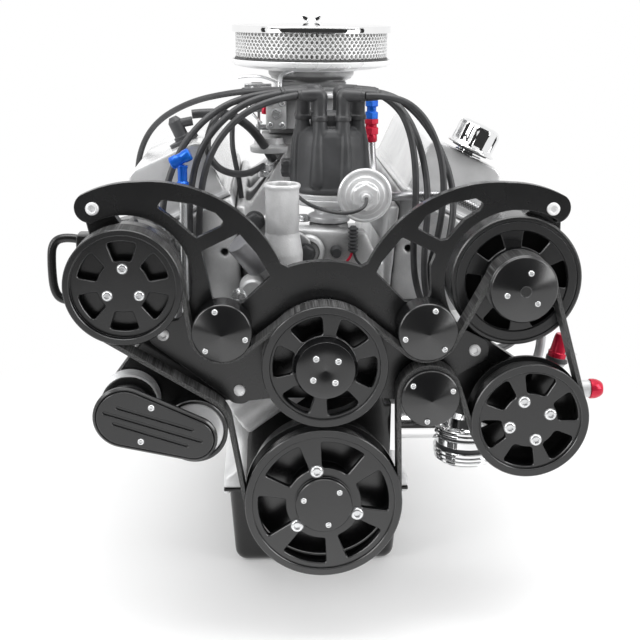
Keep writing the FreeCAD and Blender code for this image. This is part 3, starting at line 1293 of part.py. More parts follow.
def tensioner_base():
    """The cast arm behind the plate and the round spring drum on it."""
    low = (-LOWER_BOLT[0], LOWER_BOLT[1])
    outline = [
        polar(low, 16, -60), polar(low, 16, 30), polar(low, 16, 100), polar(LOBE_LEFT, 17, 50),
            polar(LOBE_LEFT, 17, 130),
        polar(TENSIONER_PIVOT, 34, 120), polar(TENSIONER_PIVOT, 34, 170), polar(TENSIONER_PIVOT, 34, 220),
            polar(TENSIONER_PIVOT, 34, 270),
        polar(TENSIONER_PIVOT, 34, 320),
    ]
    arm = slab(outline, PLATE_BACK, PLATE_BACK + BRACKET_THICK)
    drum = turned_y([(0.0, PLATE_BACK), (32.0, PLATE_BACK), (33.0, PLATE_BACK - 4), (33.0, DRUM_FRONT),
        (10.0, DRUM_FRONT), (10.0, ARM_FRONT + 4),
                     (0.0, ARM_FRONT + 4)], *TENSIONER_PIVOT)
    body = fuse([arm, drum])
    return cut(body, [rod(BOLT_R, PLATE_BACK - 22, PLATE_BACK + 28, *spot) for spot in (low, LOBE_LEFT)])


DRUM_DEPTH = 28.0
DRUM_FRONT = PLATE_BACK - DRUM_DEPTH
ARM_THICK = 12.0
ARM_GAP = 5.0
ARM_FRONT = PULLEY_FRONT - ARM_GAP - ARM_THICK


def tensioner_arm():
    """The swinging arm: a hub over the pivot post and the wheel's stub axle."""
    pivot = TENSIONER_PIVOT
    wheel = TENSIONER_WHEEL
    hub = rod(27, ARM_FRONT, DRUM_FRONT - SEAT_GAP, *pivot)
    outline = [polar(pivot, 25, a) for a in (62, 100, 140, 180, 220, 265)] + [polar(wheel, 16, a)
        for a in (-88, -45, 0, 45)]
    web = slab(outline, ARM_FRONT, ARM_FRONT + ARM_THICK)
    axle = rod(WHEEL_BORE - RUNNING_GAP, ARM_FRONT, PULLEY_FRONT + PULLEY_WIDTH, *wheel)
    shoulder = rod(13, ARM_FRONT, PULLEY_FRONT - 1, *wheel)
    arm = fuse([hub, web, axle, shoulder])
    return arm.cut(rod(10.0 + RUNNING_GAP, ARM_FRONT + 4 - RUNNING_GAP, DRUM_FRONT + 1, *pivot))


WHEEL_BORE = 8.05


def tensioner_cover():
    """A tapered slot-shaped cover with three grooves milled across it."""
    pivot = TENSIONER_PIVOT
    wheel = TENSIONER_WHEEL
    big = 36.0
    small = 27.0
    front = ARM_FRONT - 9
    body = loop_face([(*pivot, big, 1), (*wheel, small, 1)], front).extrude(V(0, 9, 0))
    edge = [e for e in body.Edges if abs(e.CenterOfMass.y - front) < 0.01]
    body = body.makeChamfer(2.0, edge)
    tilt = math.degrees(math.atan2(wheel[1] - pivot[1], wheel[0] - pivot[0]))
    tools = []
    for shift, length in ((14.0, 76.0), (0.0, 96.0), (-14.0, 76.0)):
        groove = Part.makeBox(length, 3.0, 3.2, V(-length / 2 + 2, front - 1.0, shift - 1.6))
        groove.rotate(V(0, 0, 0), Y_AXIS, -tilt)
        groove.translate(V((pivot[0] + wheel[0]) / 2, 0, (pivot[1] + wheel[1]) / 2))
        tools.append(groove)
    return cut(body, tools)


def tensioner_wheel():
    f = PULLEY_FRONT
    return turned_y([
        (WHEEL_BORE, f), (14.0, f), (14.0, f + 5), (25.0, f + 5), (27.0, f), (TENSIONER_R - 1, f),
        (TENSIONER_R, f + 1),
        (TENSIONER_R, f + PULLEY_WIDTH - 2), (WHEEL_BORE, f + PULLEY_WIDTH - 2),
    ], *TENSIONER_WHEEL)


def oil_pan():
    """A pressed pan: rail, deep front sump and a shallow rear, open at the top."""
    t = 2.5
    rail_y0 = BLOCK_FRONT + 2
    rail_y1 = BLOCK_REAR - 2
    z = PAN_RAIL_Z - 0.2
    rail_plate = box(-PAN_RAIL_HALF, PAN_RAIL_HALF, rail_y0, rail_y1, z - 5, z)
    deep = tub(SUMP_HALF, SUMP_HALF - 10, SUMP_FRONT, SUMP_REAR, z - 1, -PAN_DEPTH, 12)
    shallow = tub(96, 92, SUMP_REAR - 20, rail_y1 - 10, z - 1, -118, 8)
    body = fuse([rail_plate, deep, shallow])
    inner_deep = tub(SUMP_HALF - t - 6, SUMP_HALF - 10 - t, SUMP_FRONT + t + 3, SUMP_REAR - t, z + 1,
        -PAN_DEPTH + t, 12)
    inner_shallow = tub(96 - t - 4, 92 - t, SUMP_REAR - 20 + t, rail_y1 - 10 - t - 3, z + 1, -118 + t, 8)
    low_edges = [e for e in body.Edges if is_sump_corner(e)]
    body = body.makeFillet(SUMP_CORNER_R, low_edges)
    body = cut(body, [inner_deep, inner_shallow])
    plug = Part.makeCylinder(9, 8, V(SUMP_HALF - 8, (SUMP_FRONT + SUMP_REAR) / 2, -150), X_AXIS)
    return fuse([body, plug])


SUMP_CORNER_R = 7.0


def is_sump_corner(edge):
    """The two long lower edges of the deep sump."""
    middle = edge.CenterOfMass
    return abs(middle.z + PAN_DEPTH) < 0.5 and abs(edge.tangentAt(edge.FirstParameter).y) > 0.9


SUMP_HALF = 119.0
SUMP_FRONT = -482.0
SUMP_REAR = -250.0


def tub(half_top, half_low, y0, y1, z_top, z_low, lean):
    wires = []
    for half, a, b, z in ((half_top, y0, y1, z_top), (half_low, y0 + lean, y1 - lean * 0.5, z_low)):
        corners = [V(-half, a, z), V(half, a, z), V(half, b, z), V(-half, b, z)]
        wires.append(Part.makePolygon(corners + [corners[0]]))
    return Part.makeLoft(wires, True, True)


def balancer():
    """The torsional damper between the crank pulley and the front seal."""
    rear = BLOCK_FRONT - 45 - 9
    front = PULLEY_FRONT + PULLEY_WIDTH
    return turned_y([
        (SNOUT_R, front), (40.0, front), (44.0, front + 4), (62.0, front + 4), (64.0, front), (80.0, front),
        (80.0, front + 38),
        (66.0, front + 38), (60.0, front + 14), (34.0, front + 14), (26.0, rear), (SNOUT_R, rear),
    ])


def crank_bolts():
    bolts = []
    for i in range(3):
        x, z = polar((0, 0), 42, 101.7 + 120 * i)
        bolts.append(rod(6.5, PULLEY_FRONT - 2.5, PULLEY_FRONT + 3, x, z))
    return bolts


def fuel_pump():
    """A bright diaphragm pump: flanged canister, neck and two ports."""
    x, z = FUEL_AXIS
    y = FUEL_Y
    can = turned_z([(0.0, z - 46), (28.0, z - 46), (35.0, z - 40), (37.0, z - 34), (37.0, z - 22),
        (34.0, z - 20), (34.0, z - 4), (38.5, z - 2), (38.5, z + 5),
                    (33.0, z + 8), (30.0, z + 20), (20.0, z + 30), (0.0, z + 34)], x, y)
    neck = Part.makeCylinder(17, 72, V(100, y + 8, z), X_AXIS)
    foot = box(FUEL_FACE_X, 103, BLOCK_FRONT - 43, BLOCK_FRONT - 3, z - 32, z + 32)
    port_in = Part.makeCylinder(6, 46, V(x + 12, y, z - 34), V(0.94, 0, -0.34))
    out = Part.makeCylinder(6, 52, V(x + 10, y + 6, z + 10), V(0.8, 0, 0.6))
    return fuse([can, neck, foot, port_in, out])


FUEL_FACE_X = 93.0
FUEL_AXIS = (191.0, 44.0)
FUEL_Y = -545.0


def cord(name, points, diameter):
    """A round cord: straight runs joined by tangent arcs."""
    spots = [V(*p) for p in points]
    radius = diameter / 2
    edges = []
    here = spots[0]
    bends = []
    length = 0.0
    for before, corner, after in zip(spots, spots[1:], spots[2:]):
        way_in = (corner - before).normalize()
        way_out = (after - corner).normalize()
        turn = way_in.getAngle(way_out)
        shorter = min((corner - before).Length, (after - corner).Length)
        reach = 0.45 * shorter
        bends.append(reach / math.tan(turn / 2))
        a = corner - way_in * reach
        b = corner + way_out * reach
        middle = (a + b) * 0.5
        inward = (middle - corner).normalize()
        bend = bends[-1]
        sag = bend / math.cos(turn / 2) - bend
        edges.append(Part.LineSegment(here, a).toShape())
        edges.append(Part.Arc(a, corner + inward * sag, b).toShape())
        here = b
    edges.append(Part.LineSegment(here, spots[-1]).toShape())
    spine = Part.Wire(edges)
    ring = Part.Wire([Part.makeCircle(radius, spots[0], spots[1] - spots[0])])
    body = spine.makePipeShell([ring], True, True)
    print(
        f"cord {name:12s} length {spine.Length:6.1f} tightest bend {min(bends):5.1f} "
        f"= {min(bends) / diameter:4.1f} diameters"
    )
    return body


WIRE_D = 8.5
BOOT_Z = 461.0
PLUG_BOOT_REACH = 40.0
WIRES = {
    "wire_1": [(-27, -480, 461), (-62, -491, 456), (-104, -497, 434), (-135, -498, 394), (-149, -494, 344),
        (-152, -490, 284),
               (-151, -490, 228), (-157, -490, 180), (-190, -490, 143), (-222, -487, 121),
               (-246, -468, 111), (-245.5, -436, 109)],
    "wire_2": [(-47, -459, 461), (-80, -468, 457), (-118, -481, 434), (-149, -490, 396), (-162, -493, 344),
        (-164, -490, 284),
               (-162, -490, 238), (-166, -491, 190), (-200, -492, 156), (-240, -487, 139),
               (-264, -458, 130), (-268, -412, 122),
               (-256, -362, 112), (-245.5, -327, 109)],
    "wire_3": [(-22, -384, 461), (-58, -376, 460), (-112, -346, 454), (-172, -304, 438), (-227, -262, 404),
        (-255, -229, 352),
               (-258, -212, 290), (-253, -205, 230), (-247, -203, 180), (-245.5, -203, 145)],
    "wire_4": [(-48, -430, 461), (-86, -438, 458), (-132, -458, 440), (-170, -480, 402), (-192, -491, 350),
        (-200, -493, 296),
               (-206, -492, 244), (-209, -492, 200), (-232, -490, 166), (-264, -470, 154),
               (-284, -430, 150), (-287, -360, 148),
               (-286, -270, 146), (-282, -190, 140), (-266, -135, 120), (-245.5, -105, 109)],
    "wire_5": [(78, -468, 461), (98, -478, 450), (114, -486, 420), (122, -490, 378), (124, -491, 328),
        (122, -490, 272),
               (126, -490, 222), (144, -490, 178), (178, -490, 140), (216, -482, 119), (242, -454, 110),
               (245.5, -418, 109)],
    "wire_6": [(58, -486, 461), (92, -487, 462), (126, -488, 444), (150, -490, 404), (160, -492, 352),
        (156, -490, 292),
               (143, -490, 240), (146, -490, 192), (179, -494, 151), (226, -481, 131), (262, -448, 122),
               (268, -390, 116), (256, -335, 110), (245.5, -306, 109)],
    "wire_7": [(79, -431, 461), (102, -446, 450), (122, -468, 420), (135, -484, 376), (140, -492, 326),
        (136, -497, 272),
               (136, -502, 226), (146, -506, 184), (178, -508, 148), (222, -504, 130), (262, -480, 136),
               (282, -430, 140), (286, -350, 140), (280, -270, 134), (262, -215, 118), (245.5, -194, 109)],
    "wire_8": [(58, -391, 461), (90, -398, 460), (124, -422, 442), (150, -456, 408), (166, -478, 370),
        (173, -492, 332), (168, -502, 288),
               (156, -510, 248), (148, -516, 210), (153, -520, 172), (182, -521, 145), (228, -516, 138),
               (270, -490, 148), (296, -440, 158), (302, -360, 160), (302, -270, 158), (296, -180, 150),
               (272, -118, 121), (245.5, -84, 109)],
}
WIRE_TOWER = {"wire_1": 5, "wire_2": 4, "wire_3": 2, "wire_4": 3, "wire_5": 7, "wire_6": 6, "wire_7": 0,
    "wire_8": 1}


def tower_spot(index):
    angle = math.radians(22.5 + 45 * index)
    return (DIST_AXIS[0] + TOWER_CIRCLE * math.cos(angle), DIST_AXIS[1] + TOWER_CIRCLE * math.sin(angle))


def wire_boots():
    """An elbow boot on every cap tower and on every spark plug."""
    boots = []
    for name, points in WIRES.items():
        tx, ty = tower_spot(WIRE_TOWER[name])
        start = V(*points[0])
        heading = (V(*points[1]) - start).normalize()
        knee = start - heading * 12
        bend = V(tx, ty, BOOT_Z)
        way = knee - bend
        boot = fuse([
            post(10.0, TOWER_TOP_Z - 16, BOOT_Z, tx, ty),
            Part.makeSphere(10.0, bend),
            Part.makeCylinder(7.5, way.Length, bend, way),
            Part.makeSphere(7.5, knee),
            Part.makeCylinder(7.5, 12 - SEAT_GAP, knee, heading),
        ])
        boots.append(boot.cut(post(8.6, TOWER_TOP_Z - 17, TOWER_TOP_Z + 0.5, tx, ty)))
        number = int(name[-1])
        _, side, y, _ = CYLINDERS[number - 1]
        axis = plug_axis(side)
        seat = plug_seat(side, y)
        tip = seat + axis * PLUG_BOOT_REACH
        end = V(*points[-1])
        heading = (V(*points[-2]) - end).normalize()
        knee = end - heading * 14
        reach = knee - tip
        grip = fuse([
            Part.makeCylinder(9.0, PLUG_BOOT_REACH - 15.5, seat + axis * 15.5, axis),
            Part.makeSphere(9.0, tip),
            Part.makeCylinder(6.5, max(reach.Length, 1.0), tip, reach),
            Part.makeSphere(6.5, knee),
            Part.makeCylinder(6.5, 14 - SEAT_GAP, knee, heading),
        ])
        boots.append(grip.cut(Part.makeCylinder(5.8, 12, seat + axis * 15, axis)))
    return boots


HOSES = {
    "breather": ((12.0), [(-163.2, -400, 429.5), (-138, -397, 432), (-110, -390, 428), (-86, -376, 410),
        (-70, -356, 386), (-61, -334, 368), (-56, -314, 358)]),
    "loop": ((9.0), [(-56.8, -322, 440), (-86, -340, 444), (-113, -396, 446), (-131, -446, 432),
        (-143, -478, 398), (-131, -479, 372), (-110, -452, 358), (-86, -402, 352), (-70, -360, 356)]),
    "drop": ((7.0), [(-110, -392, 419.8), (-112, -400, 396), (-107, -408, 368), (-101, -414, 341),
        (-99, -416, 321.2)]),
    "vacuum": ((4.6), [(-30, -490, 340), (-20, -514, 333), (0, -538, 328), (20, -552, 326), (35, -558, 327),
        (48, -556, 331), (56, -545, 336), (57, -530.6, 340)]),
}
FUEL_D = 12.0
FUEL_ROUTE = [(80, -330, 388), (81, -337, 356), (86, -364, 333), (86, -414, 330), (95, -460, 330),
    (122, -477, 335), (172, -477, 335),
              (218, -488, 312), (254, -500, 272), (278, -512, 224), (290, -518, 176), (287, -524, 132),
              (268, -532, 104), (242.9, -539, 87.9)]


def fuel_fittings():
    """The two hose-end fittings in line above the braided hose."""
    x, y, _ = FUEL_ROUTE[0]
    lower = post(9.5, 390, 418, x, y)
    upper = post(7.5, 418.5, 446, x, y)
    inlet = box(54.3, x + 6, y - 6, y + 6, 446.5, 456)
    return [lower, upper, inlet]


def dipstick():
    """A tube beside the front of the head with its T-shaped pull handle."""
    x, y = DIP_AXIS
    tube = post(5.0, 150, 350, x, y)
    stem = post(8.0, 350.5, 376, x, y)
    grip = Part.makeCylinder(8.5, 34, V(x - 14, y, 379), V(0.88, 0, 0.47))
    return [tube, fuse([stem, grip])]


DIP_AXIS = (-169.7, -507.0)

# Build every node
save("engine_block", engine_block())
save("main_bearing_caps", *main_caps())
save("crankshaft", *crankshaft())
for cylinder in CYLINDERS:
    save(f"piston_{cylinder[0]}", *piston(*cylinder))
save("camshaft", *camshaft())
chain = belt(
    [(0.0, 0.0, sprocket_radius(18) + 2.2, 1), (0.0, CAM_HEIGHT, sprocket_radius(36) + 2.2, 1)],
    SEAT_GAP, 6.5, BLOCK_FRONT - 22, BLOCK_FRONT - 10,
)
save("timing_chain", chain)
save("cylinder_head_right", cylinder_head(-1))
save("cylinder_head_left", cylinder_head(1))
save("spark_plugs", *spark_plugs())
save("valve_cover_right", valve_cover(-1))
save("valve_cover_left", valve_cover(1))
save("oil_filler_cap", oil_filler_cap())
save("crankcase_valve", pcv_valve())
save("intake_manifold", intake_manifold())
carb, bowls = carburettor()
save("carburettor", *carb, *bowls)
save("throttle_shaft", throttle_shaft())
base, element, lid, nut = air_cleaner()
save("air_cleaner_base", base)
save("air_filter_element", element)
save("air_cleaner_lid", *lid, nut)
housing, cap, spinner = distributor()
save("distributor_housing", housing)
save("distributor_cap", cap)
save("distributor_rotor", spinner)
save("vacuum_advance", vacuum_advance())
save("thermostat_housing", thermostat_housing())
save("timing_cover", timing_cover())
save("water_pump_body", water_pump())
water_wheel = ribbed_pulley(WATER_AXIS, WATER_PULLEY_R, 24, WATER_SHAFT_R, 38, 58.5, 38, 53, 3.4,
    (36.5, PULLEY_FRONT - 8, 5))
save("water_pump_pulley", *water_wheel, water_shaft())
save("accessory_bracket", bracket_plate())
save("bracket_hardware", *bracket_bolts(), *idler_posts(), *standoffs())
case, rotor = alternator()
save("alternator_case", case)
save("alternator_rotor", rotor)
save("alternator_pulley", *ribbed_pulley(ALT_AXIS, ALT_PULLEY_R, 16, 8.0, 0, 0, 0, 0, 0.0,
    (38.4, PULLEY_FRONT - 10, 6), 8.5))
save("ac_compressor", *ac_compressor())
save("ac_clutch_pulley", *ac_pulley())
save("power_steering_pump", steering_pump())
save("power_steering_bracket", steering_bracket())
steer_shaft = rod(STEER_SHAFT_R, PULLEY_FRONT + 4.4, PLATE_BACK + BRACKET_THICK + 18, *STEER_AXIS)
save("power_steering_pulley", fuse([ribbed_pulley(STEER_AXIS, STEER_PULLEY_R, 24, STEER_SHAFT_R - 1, 33, 56,
    38, 19, 3.4)[0], steer_shaft]))
save("port_caps", *port_caps())
save("idler_pulley_1", *idler(IDLER_1))
save("idler_pulley_2", *idler(IDLER_2))
save("idler_pulley_3", *idler(IDLER_3))
save("tensioner_base", tensioner_base())
save("tensioner_arm", tensioner_arm(), tensioner_cover())
save("tensioner_pulley", tensioner_wheel())
save("serpentine_belt", belt(BELT_WHEELS, BELT_GAP, BELT_THICKNESS, PULLEY_FRONT + 4,
    PULLEY_FRONT + 4 + BELT_WIDTH))
save("crank_pulley", *ribbed_pulley((0.0, 0.0), CRANK_PULLEY_R, 40, SNOUT_R, 45, 77, 40, 12.5, 3,
    (33.7, PULLEY_FRONT - 6, 4)), *crank_bolts())
save("harmonic_balancer", balancer())
save("oil_pan", oil_pan())
save("fuel_pump", fuel_pump())
save("dipstick", *dipstick())
save("plug_wires", *[cord(name, points, WIRE_D) for name, points in WIRES.items()], *wire_boots())
save("vacuum_hoses", *[cord(name, points, size) for name, (size, points) in HOSES.items()])
save("fuel_hose", cord("fuel", FUEL_ROUTE, FUEL_D), *fuel_fittings())
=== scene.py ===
import math

import bmesh
import bpy
from mathutils import Matrix, Vector


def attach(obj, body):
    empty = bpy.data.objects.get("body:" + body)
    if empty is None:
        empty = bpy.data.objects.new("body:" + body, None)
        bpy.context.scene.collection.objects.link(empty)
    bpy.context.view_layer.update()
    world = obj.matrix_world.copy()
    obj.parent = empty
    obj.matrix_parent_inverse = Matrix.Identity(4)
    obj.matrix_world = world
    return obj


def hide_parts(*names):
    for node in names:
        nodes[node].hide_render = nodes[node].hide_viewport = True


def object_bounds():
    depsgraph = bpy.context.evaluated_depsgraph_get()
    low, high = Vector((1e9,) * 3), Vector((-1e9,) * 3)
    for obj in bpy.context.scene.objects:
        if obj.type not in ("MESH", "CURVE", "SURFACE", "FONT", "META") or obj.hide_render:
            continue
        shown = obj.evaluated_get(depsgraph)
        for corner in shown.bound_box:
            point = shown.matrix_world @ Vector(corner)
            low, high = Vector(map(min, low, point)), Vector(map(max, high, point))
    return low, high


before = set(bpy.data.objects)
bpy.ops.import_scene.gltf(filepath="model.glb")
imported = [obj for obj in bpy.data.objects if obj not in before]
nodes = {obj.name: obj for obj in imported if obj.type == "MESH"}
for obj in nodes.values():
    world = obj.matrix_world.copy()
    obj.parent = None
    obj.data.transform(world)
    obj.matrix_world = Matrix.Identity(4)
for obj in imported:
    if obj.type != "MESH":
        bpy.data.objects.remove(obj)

cad_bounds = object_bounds()

MM = 0.001
ENGINE = "engine"


def mm(point):
    """A point given in millimetres, in Blender's metres."""
    return Vector(point) * MM


def linked(name, data):
    """A new object that holds this data, in the scene."""
    thing = bpy.data.objects.new(name, data)
    bpy.context.collection.objects.link(thing)
    return thing


# Shader groups shared by the finishes


def feed(tree, socket, value):
    """Sets an input to a value, or links another node's output to it."""
    if isinstance(value, bpy.types.NodeSocket):
        tree.links.new(value, socket)
    else:
        socket.default_value = value


def add(tree, kind, **settings):
    """A node with its settings; a key that names an input feeds that input."""
    node = tree.nodes.new(kind)
    for key, value in settings.items():
        label = key.replace("_", " ")
        if label in node.inputs:
            feed(tree, node.inputs[label], value)
        else:
            setattr(node, key, value)
    return node


def math_node(tree, operation, first, second=None):
    """The result of one sum on two values or outputs."""
    node = add(tree, "ShaderNodeMath", operation=operation)
    feed(tree, node.inputs[0], first)
    if second is not None:
        feed(tree, node.inputs[1], second)
    return node.outputs[0]


def colour_mix(tree, share, first, second, **settings):
    """A mix of two colours, each given as a value or an output."""
    node = add(tree, "ShaderNodeMix", data_type="RGBA", **settings)
    colours = [socket for socket in node.inputs if socket.type == "RGBA"]
    for socket, value in zip([node.inputs[0]] + colours, (share, first, second)):
        feed(tree, socket, value)
    return [socket for socket in node.outputs if socket.type == "RGBA"][0]


def new_group(name, inputs, outputs):
    """An empty shader group with its named sockets, and its two ends."""
    group = bpy.data.node_groups.new(name, "ShaderNodeTree")
    for label, kind, value in inputs:
        socket = group.interface.new_socket(label, in_out="INPUT", socket_type="NodeSocket" + kind)
        if value is not None:
            socket.default_value = value
    for label, kind in outputs:
        group.interface.new_socket(label, in_out="OUTPUT", socket_type="NodeSocket" + kind)
    return group, add(group, "NodeGroupInput").outputs, add(group, "NodeGroupOutput").inputs


def grain_group():
    """Sand-cast or moulded grain: a tone from 0 to 1 and a height."""
    group, start, end = new_group(
        "Surface grain", [("Vector", "Vector", None), ("Fine", "Float", 900), ("Broad", "Float", 30)],
        [("Tone", "Float"), ("Height", "Float")],
    )
    noises = []
    for label, detail, rough in (("Fine", 3, 0.6), ("Broad", 4, 0.55)):
        noise = add(group, "ShaderNodeTexNoise", Vector=start["Vector"], Scale=start[label])
        noise.inputs["Detail"].default_value = detail
        noise.inputs["Roughness"].default_value = rough
        noises.append(noise.outputs[0])
    fine, broad = noises
    feed(group, end["Tone"], broad)
    feed(group, end["Height"], math_node(group, "ADD", fine, math_node(group, "MULTIPLY", broad, 0.6)))
    return group


def edge_group():
    """Rounded edges as a normal, and a mask of edges lightened as wear and as a painted highlight."""
    group, start, end = new_group(
        "Rounded edges",
        [("Radius", "Float", 0.0008), ("Wear Start", "Float", 0.02), ("Wear Full", "Float", 0.25)],
        [("Normal", "Vector"), ("Wear And Highlight", "Float")],
    )
    bevel = add(group, "ShaderNodeBevel", samples=4, Radius=start["Radius"]).outputs[0]
    geometry = add(group, "ShaderNodeNewGeometry")
    dot = add(group, "ShaderNodeVectorMath", operation="DOT_PRODUCT")
    feed(group, dot.inputs[0], bevel)
    feed(group, dot.inputs[1], geometry.outputs["Normal"])
    wear_and_highlight = add(
        group, "ShaderNodeMapRange", clamp=True, Value=math_node(group, "SUBTRACT", 1, dot.outputs["Value"]),
        From_Min=start["Wear Start"], From_Max=start["Wear Full"],
    )
    feed(group, end["Normal"], bevel)
    feed(group, end["Wear And Highlight"], wear_and_highlight.outputs[0])
    return group


def lathe_group():
    """Fine rings left by turning, from a map that measures across from the axis."""
    group, start, end = new_group(
        "Turning rings", [("Vector", "Vector", None), ("Pitch", "Float", 0.0009)], [("Height", "Float")],
    )
    length = add(group, "ShaderNodeVectorMath", operation="LENGTH")
    feed(group, length.inputs[0], start["Vector"])
    turns = math_node(group, "DIVIDE", length.outputs["Value"], start["Pitch"])
    feed(group, end["Height"], math_node(group, "SINE", math_node(group, "MULTIPLY", turns, math.tau)))
    return group


GRAIN = grain_group()
EDGES = edge_group()
RINGS = lathe_group()
CONTRAST = 0.35
# Painted sheen on the belt's ribs: the grey of its lines, and where they start and end in the noise.
RIB_SHEEN_TONE = (0.13, 0.13, 0.13, 1)
RIB_SHEEN_EDGE = (0.45, 0.62)
WEAVE_GAP = (0.42, 0.42, 0.42, 1)
# Painted shade: how steeply the occlusion mask darkens crevices and corners.
CREVICE_SHADE_FALL = 1.6


def use_group(tree, group, **values):
    """A node of this group with its inputs fed."""
    return add(tree, "ShaderNodeGroup", node_tree=group, **values).outputs


def finish_material(name, light, dark, rough, metallic=0, fine=900, broad=30, bump=0.15, depth=0.0004,
                    edge=0.0008, wear_and_highlight=None, rings=None, coat=0, specular=0.5, weave=None, painted_crevice_shade=None,
                    rib_sheen=None):
    """A finish with grain, soft edges, edges lightened as wear and painted highlight, painted shade in
    crevices, painted sheen lines, woven strands and, on turned parts, fine rings.
    """
    material = bpy.data.materials.new(name)
    material.use_nodes = True
    tree = material.node_tree
    tree.nodes.clear()
    place = add(tree, "ShaderNodeTexCoord").outputs
    grain = use_group(tree, GRAIN, Vector=place["Object"], Fine=fine, Broad=broad)
    edges = use_group(tree, EDGES, Radius=edge)
    spread = add(
        tree, "ShaderNodeMapRange", clamp=True, Value=grain["Tone"],
        From_Min=0.5 - CONTRAST / 2, From_Max=0.5 + CONTRAST / 2,
    ).outputs[0]
    colour = colour_mix(tree, spread, (*dark, 1), (*light, 1))
    # Edges lightened towards this grey: real wear and a painted chamfer highlight.
    if wear_and_highlight:
        colour = colour_mix(tree, math_node(tree, "MULTIPLY", edges["Wear And Highlight"], spread), colour, (*wear_and_highlight, 1))
    # Painted sheen: lighter grey lines stretched along Y stand in for light shining on the belt's ribs.
    if rib_sheen:
        stretch = add(tree, "ShaderNodeMapping", Vector=place["Object"], Scale=rib_sheen)
        sheen_lines = add(tree, "ShaderNodeTexNoise", Vector=stretch.outputs[0], Scale=1, Detail=1)
        steep = add(
            tree, "ShaderNodeMapRange", clamp=True, Value=sheen_lines.outputs[0], From_Min=RIB_SHEEN_EDGE[0],
            From_Max=RIB_SHEEN_EDGE[1],
        )
        colour = colour_mix(tree, steep.outputs[0], colour, RIB_SHEEN_TONE)
    # Painted shade: an ambient-occlusion mask darkens crevices and corners towards this grey, where shade
    # falls.
    if painted_crevice_shade:
        reach, shade = painted_crevice_shade
        corners = add(tree, "ShaderNodeAmbientOcclusion", Distance=reach, samples=4)
        unshaded = math_node(tree, "POWER", corners.outputs["AO"], CREVICE_SHADE_FALL)
        colour = colour_mix(tree, unshaded, (shade, shade, shade, 1), colour)
    if weave:
        stretch = add(tree, "ShaderNodeMapping", Vector=place["UV"], Scale=(*weave, 1))
        strands = add(tree, "ShaderNodeTexChecker", Vector=stretch.outputs[0], Scale=1)
        strands.inputs["Color1"].default_value = (1, 1, 1, 1)
        strands.inputs["Color2"].default_value = WEAVE_GAP
        colour = colour_mix(tree, 1, colour, strands.outputs["Color"], blend_type="MULTIPLY")
    roughness = add(tree, "ShaderNodeMapRange", Value=grain["Tone"], To_Min=rough * 0.85, To_Max=rough * 1.15)
    height = grain["Height"]
    if rings:
        pitch, strength = rings
        turning = use_group(tree, RINGS, Vector=place["UV"], Pitch=pitch)["Height"]
        height = math_node(tree, "ADD", height, math_node(tree, "MULTIPLY", turning, strength))
    relief = add(tree, "ShaderNodeBump", Strength=bump, Distance=depth, Normal=edges["Normal"], Height=height)
    shader = add(
        tree, "ShaderNodeBsdfPrincipled", Base_Color=colour, Roughness=roughness.outputs[0],
        Normal=relief.outputs[0], Metallic=metallic, Coat_Weight=coat, Coat_Roughness=0.12,
        Specular_IOR_Level=specular,
    )
    add(tree, "ShaderNodeOutputMaterial", Surface=shader.outputs[0])
    return material


# Finishes

# Black anodised and turned billet: edges lightened as wear and as a painted chamfer highlight.
ANODISED = finish_material(
    "Black anodised billet", (0.0075, 0.0076, 0.008), (0.0045, 0.0046, 0.005), 0.27,
    fine=1800, broad=14, bump=0.04, edge=0.0013, wear_and_highlight=(0.16, 0.16, 0.165), specular=0.8,
)
BILLET = finish_material(
    "Turned black billet", (0.0075, 0.0076, 0.008), (0.0045, 0.0046, 0.005), 0.24,
    fine=1800, broad=14, bump=0.04, edge=0.0008, wear_and_highlight=(0.18, 0.18, 0.185), specular=0.85,
    rings=(0.0011, 0.5),
)
PAN_PAINT = finish_material(
    "Black enamel", (0.012, 0.012, 0.012), (0.008, 0.008, 0.008), 0.22,
    fine=300, broad=10, bump=0.1, edge=0.0015, specular=0.6,
)
# Cast aluminium gets painted shade in its crevices from the occlusion mask.
CAST = finish_material(
    "Sand-cast aluminium", (0.9, 0.9, 0.905), (0.66, 0.665, 0.67), 0.33, metallic=0.24,
    fine=520, broad=22, bump=0.55, depth=0.0008, edge=0.0016, specular=0.8, painted_crevice_shade=(0.034, 0.03),
)
MACHINED = finish_material(
    "Machined aluminium", (0.95, 0.95, 0.955), (0.84, 0.845, 0.855), 0.3, metallic=0.5,
    fine=1500, broad=40, bump=0.12, edge=0.001,
)
# The polished covers get painted shade in their crevices from the occlusion mask.
POLISHED = finish_material(
    "Polished aluminium", (0.88, 0.88, 0.885), (0.68, 0.685, 0.69), 0.2, metallic=0.3,
    fine=700, broad=16, bump=0.12, edge=0.0016, coat=0.35, painted_crevice_shade=(0.025, 0.08),
)
SATIN = finish_material(
    "Satin bright metal", (0.96, 0.96, 0.96), (0.88, 0.885, 0.89), 0.28, metallic=0.3,
    fine=900, broad=20, bump=0.05, edge=0.0008, coat=0.2,
)
# Matt black for the alternator's rotor: its own dark colour, made darker and duller than the other blacks as
# painted shade inside the case.
DEEP = finish_material(
    "Matt black", (0.006, 0.006, 0.006), (0.004, 0.004, 0.004), 0.85,
    fine=900, broad=20, bump=0.05, edge=0.0006, specular=0.15,
)
IRON = finish_material(
    "Cast iron", (0.34, 0.34, 0.35), (0.22, 0.22, 0.23), 0.5, metallic=0.7,
    fine=420, broad=18, bump=0.4, depth=0.0006, edge=0.0016,
)
STEEL = finish_material(
    "Bright steel", (0.88, 0.885, 0.89), (0.74, 0.75, 0.76), 0.26, metallic=0.8,
    fine=1600, broad=60, bump=0.1, edge=0.0006,
)
CHROME = finish_material(
    "Chrome plate", (0.92, 0.92, 0.92), (0.84, 0.845, 0.85), 0.045, metallic=1,
    fine=200, broad=12, bump=0.02, edge=0.0008,
)
